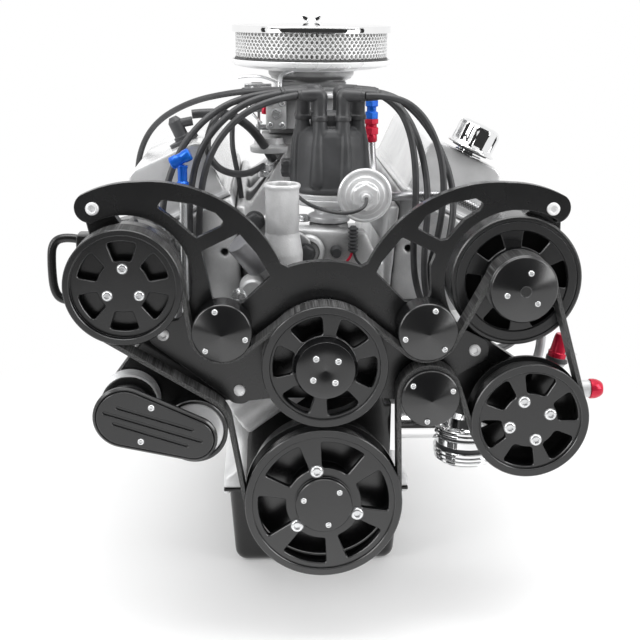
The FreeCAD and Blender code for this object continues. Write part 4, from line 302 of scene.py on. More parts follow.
# The belt's rubber carries painted sheen lines for its shining ribs.
RUBBER = finish_material(
    "Belt rubber", (0.024, 0.024, 0.024), (0.012, 0.012, 0.012), 0.5,
    fine=1400, broad=60, bump=0.3, edge=0.0006, rib_sheen=(900, 6, 900),
)
SILICONE = finish_material(
    "Wire jacket", (0.05, 0.051, 0.053), (0.03, 0.03, 0.032), 0.42,
    fine=1200, broad=50, bump=0.08, edge=0.0004, specular=0.6,
)
BAKELITE = finish_material(
    "Moulded cap", (0.06, 0.061, 0.064), (0.04, 0.041, 0.043), 0.45,
    fine=1300, broad=30, bump=0.12, edge=0.0012,
)
RED = finish_material(
    "Red anodised", (0.7, 0.02, 0.06), (0.55, 0.01, 0.04), 0.24, metallic=0.4,
    fine=1500, broad=60, bump=0.05, edge=0.0006,
)
BLUE = finish_material(
    "Blue anodised", (0.01, 0.16, 0.72), (0.01, 0.1, 0.55), 0.22, metallic=0.4,
    fine=1500, broad=60, bump=0.05, edge=0.0006,
)
BRAID = finish_material(
    "Braided steel sleeve", (0.78, 0.78, 0.79), (0.62, 0.62, 0.64), 0.34, metallic=1,
    fine=1200, broad=60, bump=0.2, edge=0.0003, weave=(360, 14),
)
FILTER_PAPER = finish_material(
    "Filter paper", (0.93, 0.93, 0.92), (0.8, 0.8, 0.79), 0.8,
    fine=900, broad=60, bump=0.2, edge=0.0004,
)

NODE_FINISHES = [
    (CAST, ["engine_block", "cylinder_head_right", "cylinder_head_left", "intake_manifold", "water_pump_body",
            "power_steering_pump"]),
    (IRON, ["main_bearing_caps"]),
    (STEEL, ["crankshaft", "camshaft", "timing_chain", "spark_plugs", "throttle_shaft", "bracket_hardware",
             "fuel_hose"]),
    (POLISHED, ["valve_cover_right", "valve_cover_left"]),
    (CHROME, ["oil_filler_cap", "air_cleaner_base", "air_cleaner_lid", "fuel_pump"]),
    (BAKELITE, ["crankcase_valve", "distributor_cap", "distributor_rotor"]),
    (MACHINED, ["carburettor", "distributor_housing", "vacuum_advance", "thermostat_housing"]),
    (MACHINED, ["piston_%d" % number for number in range(1, 9)]),
    (FILTER_PAPER, ["air_filter_element"]),
    (PAN_PAINT, ["timing_cover", "ac_compressor", "tensioner_base", "harmonic_balancer", "oil_pan"]),
    (ANODISED, ["accessory_bracket", "alternator_case", "power_steering_bracket", "tensioner_arm",
                "crank_pulley", "water_pump_pulley", "ac_clutch_pulley", "alternator_pulley",
                "power_steering_pulley", "tensioner_pulley"]),
    (ANODISED, ["idler_pulley_%d" % number for number in (1, 2, 3)]),
    # The rotor's matt black stands in partly for painted shade behind the alternator's windows.
    (DEEP, ["alternator_rotor"]),
    (RED, ["port_caps"]),
    (BLUE, ["dipstick"]),
    (RUBBER, ["serpentine_belt"]),
    (SILICONE, ["plug_wires", "vacuum_hoses"]),
]
for finish, names in NODE_FINISHES:
    for name in names:
        if not nodes[name].material_slots:
            nodes[name].data.materials.append(finish)
        for slot in nodes[name].material_slots:
            slot.material = finish

# Camera

EYE = (-69.22, -1894.5, 571.65)
LOOK_DOWN = 15.81
LOOK_RIGHT = 2.95
CAMERA_ROLL = 0.55
FOCAL_PIXELS = 1119.74
PICTURE_PIXELS = 640
SENSOR_WIDTH = 36


def set_camera():
    """The photograph's own viewpoint, found from the positions of the pulleys."""
    pitch = math.radians(LOOK_DOWN)
    yaw = math.radians(LOOK_RIGHT)
    roll = math.radians(CAMERA_ROLL)
    forward = Vector((math.sin(yaw) * math.cos(pitch), math.cos(yaw) * math.cos(pitch), -math.sin(pitch)))
    level = Vector((math.cos(yaw), -math.sin(yaw), 0))
    rise = level.cross(forward)
    right = level * math.cos(roll) + rise * math.sin(roll)
    up = rise * math.cos(roll) - level * math.sin(roll)
    data = bpy.data.cameras.new("Photograph camera")
    data.sensor_width = SENSOR_WIDTH
    data.lens = FOCAL_PIXELS / PICTURE_PIXELS * SENSOR_WIDTH
    data.clip_start = 0.05
    data.clip_end = 60
    camera = linked("Photograph camera", data)
    camera.matrix_world = Matrix.Translation(mm(EYE)) @ Matrix((right, up, -forward)).transposed().to_4x4()
    bpy.context.scene.camera = camera


set_camera()

# Cords: the same routes as the source, in millimetres


def route_curve(name, points, diameter, material, around=5, steps=10):
    """A smooth cord, bar or pipe along its route's control points."""
    data = bpy.data.curves.new(name, "CURVE")
    data.dimensions = "3D"
    spline = data.splines.new("NURBS")
    spline.points.add(len(points) - 1)
    for spot, point in zip(spline.points, points):
        spot.co = (*mm(point), 1)
    spline.order_u = 3
    spline.use_endpoint_u = True
    spline.resolution_u = steps
    data.bevel_depth = diameter / 2 * MM
    data.bevel_resolution = around
    data.use_fill_caps = True
    data.materials.append(material)
    return linked(name, data)


WIRE_ROUTES = {
    "wire_1": [
        (-27, -480, 461), (-62, -491, 456), (-104, -497, 434), (-135, -498, 394), (-149, -494, 344),
        (-152, -490, 284), (-151, -490, 228), (-157, -490, 180), (-190, -490, 143), (-222, -487, 121),
        (-246, -468, 111), (-245.5, -436, 109),
    ],
    "wire_2": [
        (-47, -459, 461), (-80, -468, 457), (-118, -481, 434), (-149, -490, 396), (-162, -493, 344),
        (-164, -490, 284), (-162, -490, 238), (-166, -491, 190), (-200, -492, 156), (-240, -487, 139),
        (-264, -458, 130), (-268, -412, 122), (-256, -362, 112), (-245.5, -327, 109),
    ],
    "wire_3": [
        (-22, -384, 461), (-58, -376, 460), (-112, -346, 454), (-172, -304, 438), (-227, -262, 404),
        (-255, -229, 352), (-258, -212, 290), (-253, -205, 230), (-247, -203, 180), (-245.5, -203, 145),
    ],
    "wire_4": [
        (-48, -430, 461), (-86, -438, 458), (-132, -458, 440), (-170, -480, 402), (-192, -491, 350),
        (-200, -493, 296), (-206, -492, 244), (-209, -492, 200), (-232, -490, 166), (-264, -470, 154),
        (-284, -430, 150), (-287, -360, 148), (-286, -270, 146), (-282, -190, 140), (-266, -135, 120),
        (-245.5, -105, 109),
    ],
    "wire_5": [
        (78, -468, 461), (98, -478, 450), (114, -486, 420), (122, -490, 378), (124, -491, 328),
        (122, -490, 272), (126, -490, 222), (144, -490, 178), (178, -490, 140), (216, -482, 119),
        (242, -454, 110), (245.5, -418, 109),
    ],
    "wire_6": [
        (58, -486, 461), (92, -487, 462), (126, -488, 444), (150, -490, 404), (160, -492, 352),
        (156, -490, 292), (143, -490, 240), (146, -490, 192), (179, -494, 151), (226, -481, 131),
        (262, -448, 122), (268, -390, 116), (256, -335, 110), (245.5, -306, 109),
    ],
    "wire_7": [
        (79, -431, 461), (102, -446, 450), (122, -468, 420), (135, -484, 376), (140, -492, 326),
        (136, -497, 272), (136, -502, 226), (146, -506, 184), (178, -508, 148), (222, -504, 130),
        (262, -480, 136), (282, -430, 140), (286, -350, 140), (280, -270, 134), (262, -215, 118),
        (245.5, -194, 109),
    ],
    "wire_8": [
        (58, -391, 461), (90, -398, 460), (124, -422, 442), (150, -456, 408), (166, -478, 370),
        (173, -492, 332), (168, -502, 288), (156, -510, 248), (148, -516, 210), (153, -520, 172),
        (182, -521, 145), (228, -516, 138), (270, -490, 148), (296, -440, 158), (302, -360, 160),
        (302, -270, 158), (296, -180, 150), (272, -118, 121), (245.5, -84, 109),
    ],
}
HOSE_ROUTES = {
    "breather": [
        (-163.2, -400, 429.5), (-138, -397, 432), (-110, -390, 428), (-86, -376, 410), (-70, -356, 386),
        (-61, -334, 368), (-56, -314, 358),
    ],
    "loop": [
        (-56.8, -322, 440), (-86, -340, 444), (-113, -396, 446), (-131, -446, 432), (-143, -478, 398),
        (-131, -479, 372), (-110, -452, 358), (-86, -402, 352), (-70, -360, 356),
    ],
    "drop": [
        (-110, -392, 419.8), (-112, -400, 396), (-107, -408, 368), (-101, -414, 341), (-99, -416, 321.2),
    ],
    "vacuum": [
        (-30, -490, 340), (-20, -514, 333), (0, -538, 328), (20, -552, 326), (35, -558, 327),
        (48, -556, 331), (56, -545, 336), (57, -530.6, 340),
    ],
}
FUEL_ROUTE = [
    (80, -330, 388), (81, -337, 356), (86, -364, 333), (86, -414, 330), (95, -460, 330), (122, -477, 335),
    (172, -477, 335), (218, -488, 312), (254, -500, 272), (278, -512, 224), (290, -518, 176),
    (287, -524, 132), (268, -532, 104), (242.9, -539, 87.9),
]

# Millimetres: real length of each tube in the source, and its thickness
WIRE_D = 8.5
WIRE_TOWERS = {
    "wire_1": 5, "wire_2": 4, "wire_3": 2, "wire_4": 3, "wire_5": 7, "wire_6": 6, "wire_7": 0, "wire_8": 1,
}
HOSE_FACTS = {"breather": (174, 12), "loop": (360, 9), "drop": (103, 7), "vacuum": (141, 4.6)}
FUEL_D = 12

# The distributor, its towers, and how far up, across and tilted the plugs sit
DIST = (16, -440)
TOWER_CIRCLE = 38
BOOT_Z = 461
PLUG_UP = 234
PLUG_ACROSS = -60
PLUG_TILT = math.radians(20)


def tower_spot(index):
    """The middle of one of the cap's eight towers, at height zero."""
    angle = math.radians(22.5 + 45 * index)
    return Vector((DIST[0] + TOWER_CIRCLE * math.cos(angle), DIST[1] + TOWER_CIRCLE * math.sin(angle), 0))


def plug_seat(side, y):
    """Where a spark plug sits in the head, and the way that it points."""
    half = math.sqrt(0.5)
    seat = Vector((side * (PLUG_UP - PLUG_ACROSS) * half, y, (PLUG_UP + PLUG_ACROSS) * half))
    return seat, Vector((side * math.cos(PLUG_TILT), 0, -math.sin(PLUG_TILT)))


def plain_mesh(source, name):
    """The evaluated object as a plain mesh object, and the first one removed."""
    graph = bpy.context.evaluated_depsgraph_get()
    data = bpy.data.meshes.new_from_object(source.evaluated_get(graph))
    data.name = name
    bpy.data.objects.remove(source)
    return linked(name, data)


def smooth(piece, degrees=35):
    """Smooth shading with every corner sharper than this kept crisp."""
    mesh = piece.data
    mesh.shade_smooth()
    work = bmesh.new()
    work.from_mesh(mesh)
    limit = math.radians(degrees)
    for edge in work.edges:
        if len(edge.link_faces) == 2 and edge.calc_face_angle(0) > limit:
            edge.smooth = False
    work.to_mesh(mesh)
    work.free()
    return piece


def sleeve(name, stations, material):
    """A moulded sleeve along (point, radius) stations, closed at both ends."""
    curve = route_curve(name + "_curve", [point for point, radius in stations], 2, material, 5, 5)
    for spot, (point, radius) in zip(curve.data.splines[0].points, stations):
        spot.radius = radius
    return smooth(plain_mesh(curve, name), 50)


def cap_boot(name, route, tower):
    """The elbow on a cap tower: flared skirt, upright, ribbed arm."""
    foot = tower_spot(tower)
    top = foot + Vector((0, 0, BOOT_Z))
    out = Vector(route[0])
    step = (out - top) / 4
    skirt = ((429.5, 10.4), (432, 10.6), (434.5, 10.4), (436, 8.9), (444, 8.6), (452, 8.8), (457, 9.4))
    arm = ((0, 9.2), (1, 8.6), (2, 8.2), (3, 7.4), (3.4, 7.4), (3.5, 6.4))
    stations = [(foot + Vector((0, 0, z)), radius) for z, radius in skirt]
    stations += [(top + step * share, radius) for share, radius in arm]
    stations.append((out - step.normalized() * 0.3, 5.8))
    return sleeve(name, stations, SILICONE)


def plug_boot(name, route, side, y):
    """The straight-then-bent boot over a spark plug."""
    seat, axis = plug_seat(side, y)
    tip = seat + axis * 40
    end = Vector(route[-1])
    heading = (Vector(route[-2]) - end).normalized()
    knee = end - heading * 14
    return sleeve(name, [
        (seat + axis * 15.5, 9.4), (seat + axis * 18, 9.6), (seat + axis * 20, 8.6),
        (seat + axis * 34, 8.4), (tip, 8.6), ((tip + knee) / 2, 7.6), (knee, 7.4), (end - heading * 6, 6.6),
        (end - heading * 0.3, 5.4),
    ], SILICONE)


def fit(piece, node, body=ENGINE):
    """The piece rides a body and stands for a solid of the frame."""
    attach(piece, body)
    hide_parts(node)


FIRST_THROW = -414.375
PITCH = 111.25
STAGGER = 11
for name, route in WIRE_ROUTES.items():
    number = int(name[-1])
    side = -1 if number <= 4 else 1
    y = FIRST_THROW + PITCH * ((number - 1) % 4) + STAGGER * side
    wire = route_curve("plug_" + name, route, WIRE_D, SILICONE)
    boots = [
        cap_boot("cap_boot_%d" % number, route, WIRE_TOWERS[name]),
        plug_boot("plug_boot_%d" % number, route, side, y),
    ]
    for piece in [wire] + boots:
        fit(piece, "plug_wires")

for name, route in HOSE_ROUTES.items():
    length, thick = HOSE_FACTS[name]
    hose = route_curve("hose_" + name, route, thick, SILICONE)
    fit(hose, "vacuum_hoses")

fuel_line = route_curve("fuel_line", FUEL_ROUTE, FUEL_D, BRAID)
fit(fuel_line, "fuel_hose")

# Shapes that several pieces share


def mesh_piece(name, work, material, degrees=35):
    """A bmesh made into a piece with outward faces and crisp corners."""
    bmesh.ops.remove_doubles(work, verts=work.verts, dist=1e-6)
    bmesh.ops.recalc_face_normals(work, faces=work.faces)
    mesh = bpy.data.meshes.new(name)
    work.to_mesh(mesh)
    work.free()
    mesh.materials.append(material)
    return smooth(linked(name, mesh), degrees)


def hex_factor(angle):
    """How far a hexagon's side is from its centre, for an inner radius of one."""
    return 1 / math.cos((angle + math.pi / 6) % (math.pi / 3) - math.pi / 6)


def flute_factor(angle):
    """Ten broad scoops round a grip, with narrow lands between them."""
    return 1 - 0.08 * min(1, max(0, (abs(math.cos(5 * angle)) - 0.22) / 0.5))


SHAPERS = {"hex": hex_factor, "flute": flute_factor}


def turn_profile(work, profile, steps=72, closed=False, place=None):
    """Adds a turned shape round local Z; a row is (radius, height) or (radius, height, "hex")."""
    place = place or Matrix.Identity(4)
    rows = []
    for station in profile:
        radius, height = station[0], station[1]
        shaper = SHAPERS[station[2]] if len(station) > 2 else None
        if radius < 1e-6:
            rows.append([work.verts.new(place @ mm((0, 0, height)))])
            continue
        row = []
        for step in range(steps):
            angle = math.tau * step / steps
            reach = radius * (shaper(angle) if shaper else 1)
            spot = (reach * math.cos(angle), reach * math.sin(angle), height)
            row.append(work.verts.new(place @ mm(spot)))
        rows.append(row)
    pairs = list(zip(rows, rows[1:]))
    if closed:
        pairs.append((rows[-1], rows[0]))
    for first, second in pairs:
        for step in range(steps):
            after = (step + 1) % steps
            if len(first) == 1 and len(second) == 1:
                continue
            if len(first) == 1:
                work.faces.new((first[0], second[step], second[after]))
            elif len(second) == 1:
                work.faces.new((first[step], second[0], first[after]))
            else:
                work.faces.new((first[step], second[step], second[after], first[after]))
    return work


TO_FRONT = Matrix.Rotation(math.radians(90), 4, "X")


def facing(x, y, z):
    """Puts a shape turned round local Z at a point, with its top towards the front."""
    return Matrix.Translation(mm((x, y, z))) @ TO_FRONT


def on_axis(centre):
    """Puts a shape on an axis that runs forward through (x, z)."""
    return facing(centre[0], 0, centre[1])


def upright(x, y, z=0):
    """Puts a shape on an upright axis."""
    return Matrix.Translation(mm((x, y, z)))


def along(point, way):
    """Puts local Z along a direction."""
    turn = Vector(way).normalized().to_track_quat("Z", "Y").to_matrix().to_4x4()
    return Matrix.Translation(mm(point)) @ turn


def rod(radius, low, high):
    """The profile of a plain round bar."""
    return [(0, low), (radius, low), (radius, high), (0, high)]


def turned(name, profile, place, material, steps=96, closed=False, degrees=35):
    """One turned shape as a piece."""
    return mesh_piece(name, turn_profile(bmesh.new(), profile, steps, closed, place), material, degrees)


def plate(name, loops, front, thick, chamfer, material, degrees=25):
    """A flat plate facing forward, cut to loops of (x, z), with chamfered edges."""
    data = bpy.data.curves.new(name, "CURVE")
    data.dimensions = "2D"
    data.fill_mode = "BOTH"
    for loop in loops:
        spline = data.splines.new("POLY")
        spline.points.add(len(loop) - 1)
        for spot, (x, z) in zip(spline.points, loop):
            spot.co = (x * MM, z * MM, 0, 1)
        spline.use_cyclic_u = True
    data.extrude = (thick / 2 - chamfer) * MM
    data.bevel_depth = chamfer * MM
    data.bevel_resolution = 0
    data.offset = -chamfer * MM
    data.materials.append(material)
    piece = plain_mesh(linked(name + "_outline", data), name)
    piece.data.transform(facing(0, front + thick / 2, 0))
    work = bmesh.new()
    work.from_mesh(piece.data)
    bmesh.ops.remove_doubles(work, verts=work.verts, dist=2e-6)
    bmesh.ops.recalc_face_normals(work, faces=work.faces)
    work.to_mesh(piece.data)
    work.free()
    return smooth(piece, degrees)


def spots_round(centre, radius, count, degrees=0):
    """Places evenly round a centre, the first one at this angle."""
    spots = []
    for step in range(count):
        angle = math.radians(degrees) + math.tau * step / count
        spots.append((centre[0] + radius * math.cos(angle), centre[1] + radius * math.sin(angle)))
    return spots


def window_loop(centre, inner, outer, degrees, half_angle, corner):
    """A window between two radii and two rays of a wheel, with round corners."""
    middle = math.radians(degrees)
    half = math.radians(half_angle)

    def spot(radius, angle):
        return Vector((centre[0] + radius * math.cos(angle), centre[1] + radius * math.sin(angle)))

    def bend(start, knee, end):
        found = []
        for step in range(6):
            t = step / 5
            found.append(start * (1 - t) ** 2 + knee * 2 * t * (1 - t) + end * t ** 2)
        return found

    def arc(radius, start, end, steps):
        return [spot(radius, start + (end - start) * step / steps) for step in range(1, steps)]

    low = middle - half
    high = middle + half
    far = corner / outer
    near = corner / inner
    loop = bend(spot(outer - corner, low), spot(outer, low), spot(outer, low + far))
    loop += arc(outer, low + far, high - far, 8)
    loop += bend(spot(outer, high - far), spot(outer, high), spot(outer - corner, high))
    loop += bend(spot(inner + corner, high), spot(inner, high), spot(inner, high - near))
    loop += arc(inner, high - near, low + near, 6)
    loop += bend(spot(inner, low + near), spot(inner, low), spot(inner + corner, low))
    return [tuple(point) for point in loop]


# Repeats made with Geometry Nodes


def ring_tree():
    """Copies of one piece round a circle, turned with it, then put in place."""
    tree = bpy.data.node_groups.new("Pieces in a ring", "GeometryNodeTree")
    inputs = (
        ("Geometry", "Geometry"), ("Piece", "Object"), ("Count", "Int"), ("Radius", "Float"),
        ("Phase", "Float"), ("Turn", "Vector"), ("Centre", "Vector"), ("Finish", "Material"),
    )
    for label, kind in inputs:
        tree.interface.new_socket(label, in_out="INPUT", socket_type="NodeSocket" + kind)
    tree.interface.new_socket("Geometry", in_out="OUTPUT", socket_type="NodeSocketGeometry")
    start = add(tree, "NodeGroupInput").outputs
    circle = add(tree, "GeometryNodeMeshCircle", Vertices=start["Count"], Radius=start["Radius"])
    index = add(tree, "GeometryNodeInputIndex").outputs[0]
    share = math_node(tree, "DIVIDE", math.tau, start["Count"])
    turn = add(tree, "ShaderNodeCombineXYZ", Z=math_node(tree, "MULTIPLY", index, share))
    source = add(tree, "GeometryNodeObjectInfo", transform_space="ORIGINAL", Object=start["Piece"])
    copies = add(
        tree, "GeometryNodeInstanceOnPoints", Points=circle.outputs[0], Instance=source.outputs["Geometry"],
        Rotation=turn.outputs[0],
    )
    real = add(tree, "GeometryNodeRealizeInstances", Geometry=copies.outputs[0])
    phase = add(tree, "ShaderNodeCombineXYZ", Z=start["Phase"])
    spun = add(tree, "GeometryNodeTransform", Geometry=real.outputs[0], Rotation=phase.outputs[0])
    placed = add(
        tree, "GeometryNodeTransform", Geometry=spun.outputs[0], Rotation=start["Turn"],
        Translation=start["Centre"],
    )
    finish = add(tree, "GeometryNodeSetMaterial", Geometry=placed.outputs[0], Material=start["Finish"])
    add(tree, "NodeGroupOutput", Geometry=finish.outputs[0])
    return tree


RING_TREE = ring_tree()
FORWARD = (math.radians(90), 0.0, 0.0)
LEVEL = (0.0, 0.0, 0.0)
TEMPLATES = []
SCREWS = {}


def grown(name, tree, values):
    """Runs a tree with these named values and keeps the result as a plain mesh."""
    host = linked(name + "_host", bpy.data.meshes.new(name + "_host"))
    modifier = host.modifiers.new("Repeat", "NODES")
    modifier.node_group = tree
    for item in tree.interface.items_tree:
        if item.in_out == "INPUT" and item.name in values:
            modifier[item.identifier] = values[item.name]
    return smooth(plain_mesh(host, name))


def ring_of(name, template, count, radius, degrees, centre, material, turn=FORWARD):
    """Copies of a template round a circle, as one plain mesh."""
    return grown(name, RING_TREE, {
        "Piece": template, "Count": count, "Radius": radius * MM, "Phase": math.radians(degrees),
        "Turn": turn, "Centre": tuple(mm(centre)), "Finish": material,
    })


def button_profile(radius, height, foot):
    """A button head with a six-sided socket, its seat at zero and its foot below."""
    return [
        (0, height * 0.35), (radius * 0.42, height * 0.35, "hex"), (radius * 0.44, height * 0.97, "hex"),
        (radius * 0.58, height), (radius * 0.78, height * 0.86), (radius * 0.93, height * 0.55),
        (radius, height * 0.2), (radius, foot), (0, foot),
    ]


def socket_screw(radius, height):
    """A screw kept out of the picture for the tree to copy."""
    key = "screw_%s_%s" % (radius, height)
    if key not in SCREWS:
        SCREWS[key] = turned(key, button_profile(radius, height, -0.4), Matrix.Identity(4), STEEL, 24)
        TEMPLATES.append(SCREWS[key])
    return SCREWS[key]


def joined(name, pieces):
    """Several meshes as one piece, each part with its own finish."""
    with bpy.context.temp_override(
        active_object=pieces[0], object=pieces[0], selected_objects=pieces, selected_editable_objects=pieces,
    ):
        bpy.ops.object.join()
    pieces[0].name = name
    pieces[0].data.name = name
    return pieces[0]


def axis_uv(piece, centre):
    """A UV map that measures across from an axis along Y, in metres."""
    mesh = piece.data
    layer = mesh.uv_layers.get("UVMap") or mesh.uv_layers.new(name="UVMap")
    for loop in mesh.loops:
        spot = mesh.vertices[loop.vertex_index].co
        layer.data[loop.index].uv = (spot.x - centre[0] * MM, spot.z - centre[1] * MM)
    return piece


# The front drive's wheels

RIM_FRONT = 680
RIM_BACK = 644
WEB_THICK = 9
RIBS = 7
RIB_PITCH = 3.56


def wheel_rim(name, centre, radius, web, rim):
    """A flanged rim with vee grooves for the belt's ribs."""
    floor = radius - 5.5
    inner = radius - rim
    profile = [
        (inner, RIM_FRONT - web - WEB_THICK), (inner, RIM_FRONT - 1), (inner + 1, RIM_FRONT),
        (radius - 1, RIM_FRONT), (radius, RIM_FRONT - 1), (radius, RIM_FRONT - 2.6), (floor, RIM_FRONT - 4),
    ]
    top = (RIM_FRONT + RIM_BACK) / 2 + RIBS * RIB_PITCH / 2
    for rib in range(RIBS):
        start = top - rib * RIB_PITCH
        profile.append((floor, start))
        profile.append((floor - 2, start - RIB_PITCH * 0.42))
        profile.append((floor - 2, start - RIB_PITCH * 0.58))
    profile += [
        (floor, top - RIBS * RIB_PITCH), (floor, RIM_BACK + 4), (radius, RIM_BACK + 2.6), (radius, RIM_BACK),
        (floor - 3, RIM_BACK), (floor - 3, RIM_FRONT - web - WEB_THICK),
    ]
    return turned(name, profile, on_axis(centre), BILLET, 128, closed=True)


def billet_wheel(name, node, body, centre, radius, web, rim, windows=None, cap=None, hub=24, extra=()):
    """One belt wheel: rim, windowed web, hub and nose cap, in place of its CAD node."""
    inner = radius - rim
    place = on_axis(centre)
    loops = [spots_round(centre, inner + 0.6, 96)]
    if windows:
        low, high, phase, half_angle, corner = windows
        for step in range(6):
            loops.append(window_loop(centre, low, high, phase + 60 * step, half_angle, corner))
    parts = [
        wheel_rim(name + "_rim", centre, radius, web, rim),
        plate(name + "_web", loops, -(RIM_FRONT - web), WEB_THICK, 0.9, BILLET),
        turned(name + "_hub", rod(hub, RIM_BACK, RIM_FRONT - web - 1), place, BILLET),
    ]
    if cap:
        parts.append(turned(name + "_cap", cap, place, BILLET, 128))
    wheel = axis_uv(joined(name, parts + list(extra)), centre)
    fit(wheel, node, body)
    return wheel


def cone_cap(radius, foot, shoulder, peak, lip=1.6, sharp=False):
    """The profile of a shallow conical cap with a bright chamfer, sharp or with a small flat tip."""
    side = [
        (0, foot), (radius, foot), (radius, shoulder - lip), (radius - lip * 0.5, shoulder - lip * 0.4),
        (radius - lip, shoulder),
    ]
    if sharp:
        return side + [(1.2, peak), (0.6, peak + 0.3), (0, peak + 0.4)]
    return side + [(7.2, peak), (6.6, peak + 0.25), (6, peak - 0.5), (0, peak - 0.5)]


def tube(name, points, radius, material, sides=4):
    """A round bar or pipe bent along a smooth curve through the points."""
    return plain_mesh(route_curve(name + "_line", points, radius * 2, material, sides, 12), name)


def screws(name, body, radius, height, count, circle, degrees, centre, y):
    """Button-head screws round an axis, on the body that carries them."""
    screw = socket_screw(radius, height)
    piece = ring_of(name, screw, count, circle, degrees, (centre[0], y, centre[1]), STEEL)
    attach(piece, body)
    return piece


def buttons(name, body, spots, y, radius, height):
    """One mesh of screw heads facing forward, each at an (x, z) of one plane."""
    work = bmesh.new()
    for x, z in spots:
        turn_profile(work, button_profile(radius, height, -0.6), 30, place=facing(x, y, z))
    piece = mesh_piece(name, work, STEEL)
    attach(piece, body)
    return piece


def fused(name, pieces, voxel, material, rounds=4, degrees=60):
    """Pieces run into one cast or moulded skin: rebuilt on a fine grid and eased."""
    body = joined(name + "_rough", pieces) if len(pieces) > 1 else pieces[0]
    skin = body.modifiers.new("Skin", "REMESH")
    skin.mode = "VOXEL"
    skin.voxel_size = voxel * MM
    ease = body.modifiers.new("Ease", "SMOOTH")
    ease.factor = 0.5
    ease.iterations = rounds
    piece = plain_mesh(body, name)
    piece.data.materials.clear()
    piece.data.materials.append(material)
    return smooth(piece, degrees)


def node_copy(node):
    """A loose copy of a frame node's mesh."""
    mesh = nodes[node].data.copy()
    mesh.transform(nodes[node].matrix_world)
    return linked(node + "_copy", mesh)


def cast_skin(node, voxel, material, rounds):
    """The frame's solid with the soft edges of a casting, in place of its node."""
    piece = fused(node + "_skin", [node_copy(node)], voxel, material, rounds)
    fit(piece, node)
    return piece


def block_mesh(name, low, high, material, bevel=1):
    """A rounded block between two corners."""
    work = bmesh.new()
    bmesh.ops.create_cube(work, size=1)
    middle = (Vector(low) + Vector(high)) / 2
    span = Vector(high) - Vector(low)
    for vert in work.verts:
        vert.co = mm([middle[k] + vert.co[k] * span[k] for k in range(3)])
    if bevel:
        edges = list(work.edges)
        bmesh.ops.bevel(work, geom=edges, offset=bevel * MM, segments=2, affect="EDGES", profile=0.5)
    return mesh_piece(name, work, material)


CRANK = (0, 0)
WATER = (0, 170)
COMPRESSOR = (-227, 264.5)
ALTERNATOR = (224, 262)
STEERING = (241.2, 102.4)
IDLERS = {1: ((-117.3, 212.5), 106), 2: ((116.5, 212.5), 75), 3: ((122.3, 132.9), 22)}
TENSION_WHEEL = (-150, 94)
TENSION_PIVOT = (-227, 120)

billet_wheel(
    "crank_wheel", "crank_pulley", "crank", CRANK, 93.5, 3, 9, (45, 78, 12.5, 20.4, 3.5), [
        (0, 660), (33.75, 660), (33.75, 683), (32.6, 684.3), (0, 684.6),
    ], 40,
)
screws("crank_cap_screws", "crank", 3.7, 2.2, 3, 25, 43, CRANK, -684.2)
screws("crank_wheel_bolts", "crank", 8.2, 4.4, 3, 42, 101.7, CRANK, -677)

billet_wheel(
    "water_wheel", "water_pump_pulley", "water_pump_drive", WATER, 72.8, 3.4, 9.5, (38, 60, 53, 19.5, 4.5), [
        (0, 660), (37, 660), (37, 679), (33.6, 689.6), (32.4, 690.2), (2.4, 690.6), (1.4, 690),
        (0, 690),
    ], extra=[turned("water_shaft", rod(8, 553, 650),
                     on_axis(WATER), STEEL)],
)
screws("water_cap_screws", "water_pump_drive", 4, 2.4, 4, 18, 38, WATER, -690.3)

billet_wheel(
    "compressor_wheel", "ac_clutch_pulley", "compressor_drive", COMPRESSOR, 66.5, 8, 7.5,
    (29.5, 51.6, 30, 18.8, 3.5), [
        (0, 660), (9, 660), (9, 671.4), (8, 670.6), (0, 670.6),
    ],
    extra=[
        turned("clutch_face", rod(58, 640, 655), on_axis(COMPRESSOR), BILLET),
        turned("clutch_drum", [
            (20, 616), (64, 616), (64, 643.9), (20, 643.9)],
            on_axis(COMPRESSOR), BILLET, closed=True),
    ],
)
screws("compressor_bolts", "compressor_drive", 6.4, 4, 3, 20.7, 90, COMPRESSOR, -672)

billet_wheel(
    "steering_wheel", "power_steering_pulley", "steering_drive", STEERING, 69.7, 3.4, 9.5,
    (33, 57.6, 19, 19.5, 5), None,
    extra=[turned("steering_shaft", rod(7.9, 597, 650),
                  on_axis(STEERING), STEEL)],
)
screws("steering_bolts", "steering_drive", 7.6, 4.4, 4, 25, 19, STEERING, -676.6)

billet_wheel(
    "alternator_wheel", "alternator_pulley", "alternator_drive", ALTERNATOR, 39.5, 4, 8.5, None,
    cone_cap(38.4, 676, 683.5, 691.5), 16,
)
screws("alternator_cap_screws", "alternator_drive", 3.6, 2.2, 3, 21, 75, ALTERNATOR, -687.4)

for number, (centre, phase) in IDLERS.items():
    place = on_axis(centre)
    body = "idler_%d" % number
    wheel = turned("idler_wheel_%d" % number, [
        (8.1, 674), (25, 674), (25, 676.6), (31.8, 676.6), (33, 675.4), (33, 647.2), (31.8, 646),
        (8.1, 646),
    ], place, BILLET, 128, closed=True)
    cap = turned("idler_cap", cone_cap(34, 677, 684.5, 694, sharp=True), place, BILLET, 128)
    wheel = axis_uv(joined("idler_wheel_%d" % number, [wheel, cap]), centre)
    fit(wheel, "idler_pulley_%d" % number, body)
    screws("idler_screws_%d" % number, body, 3.6, 2.2, 3, 27, phase, centre, -686.2)


# Tensioner: milled cover, wheel and screws

COVER_SCREWS = ((-196.5, 133), (-209.4, 92.6))
COVER_GROOVES = (((-234, 133), (-152, 106)), ((-249, 127), (-142, 92)), ((-239, 114), (-158.5, 87)))


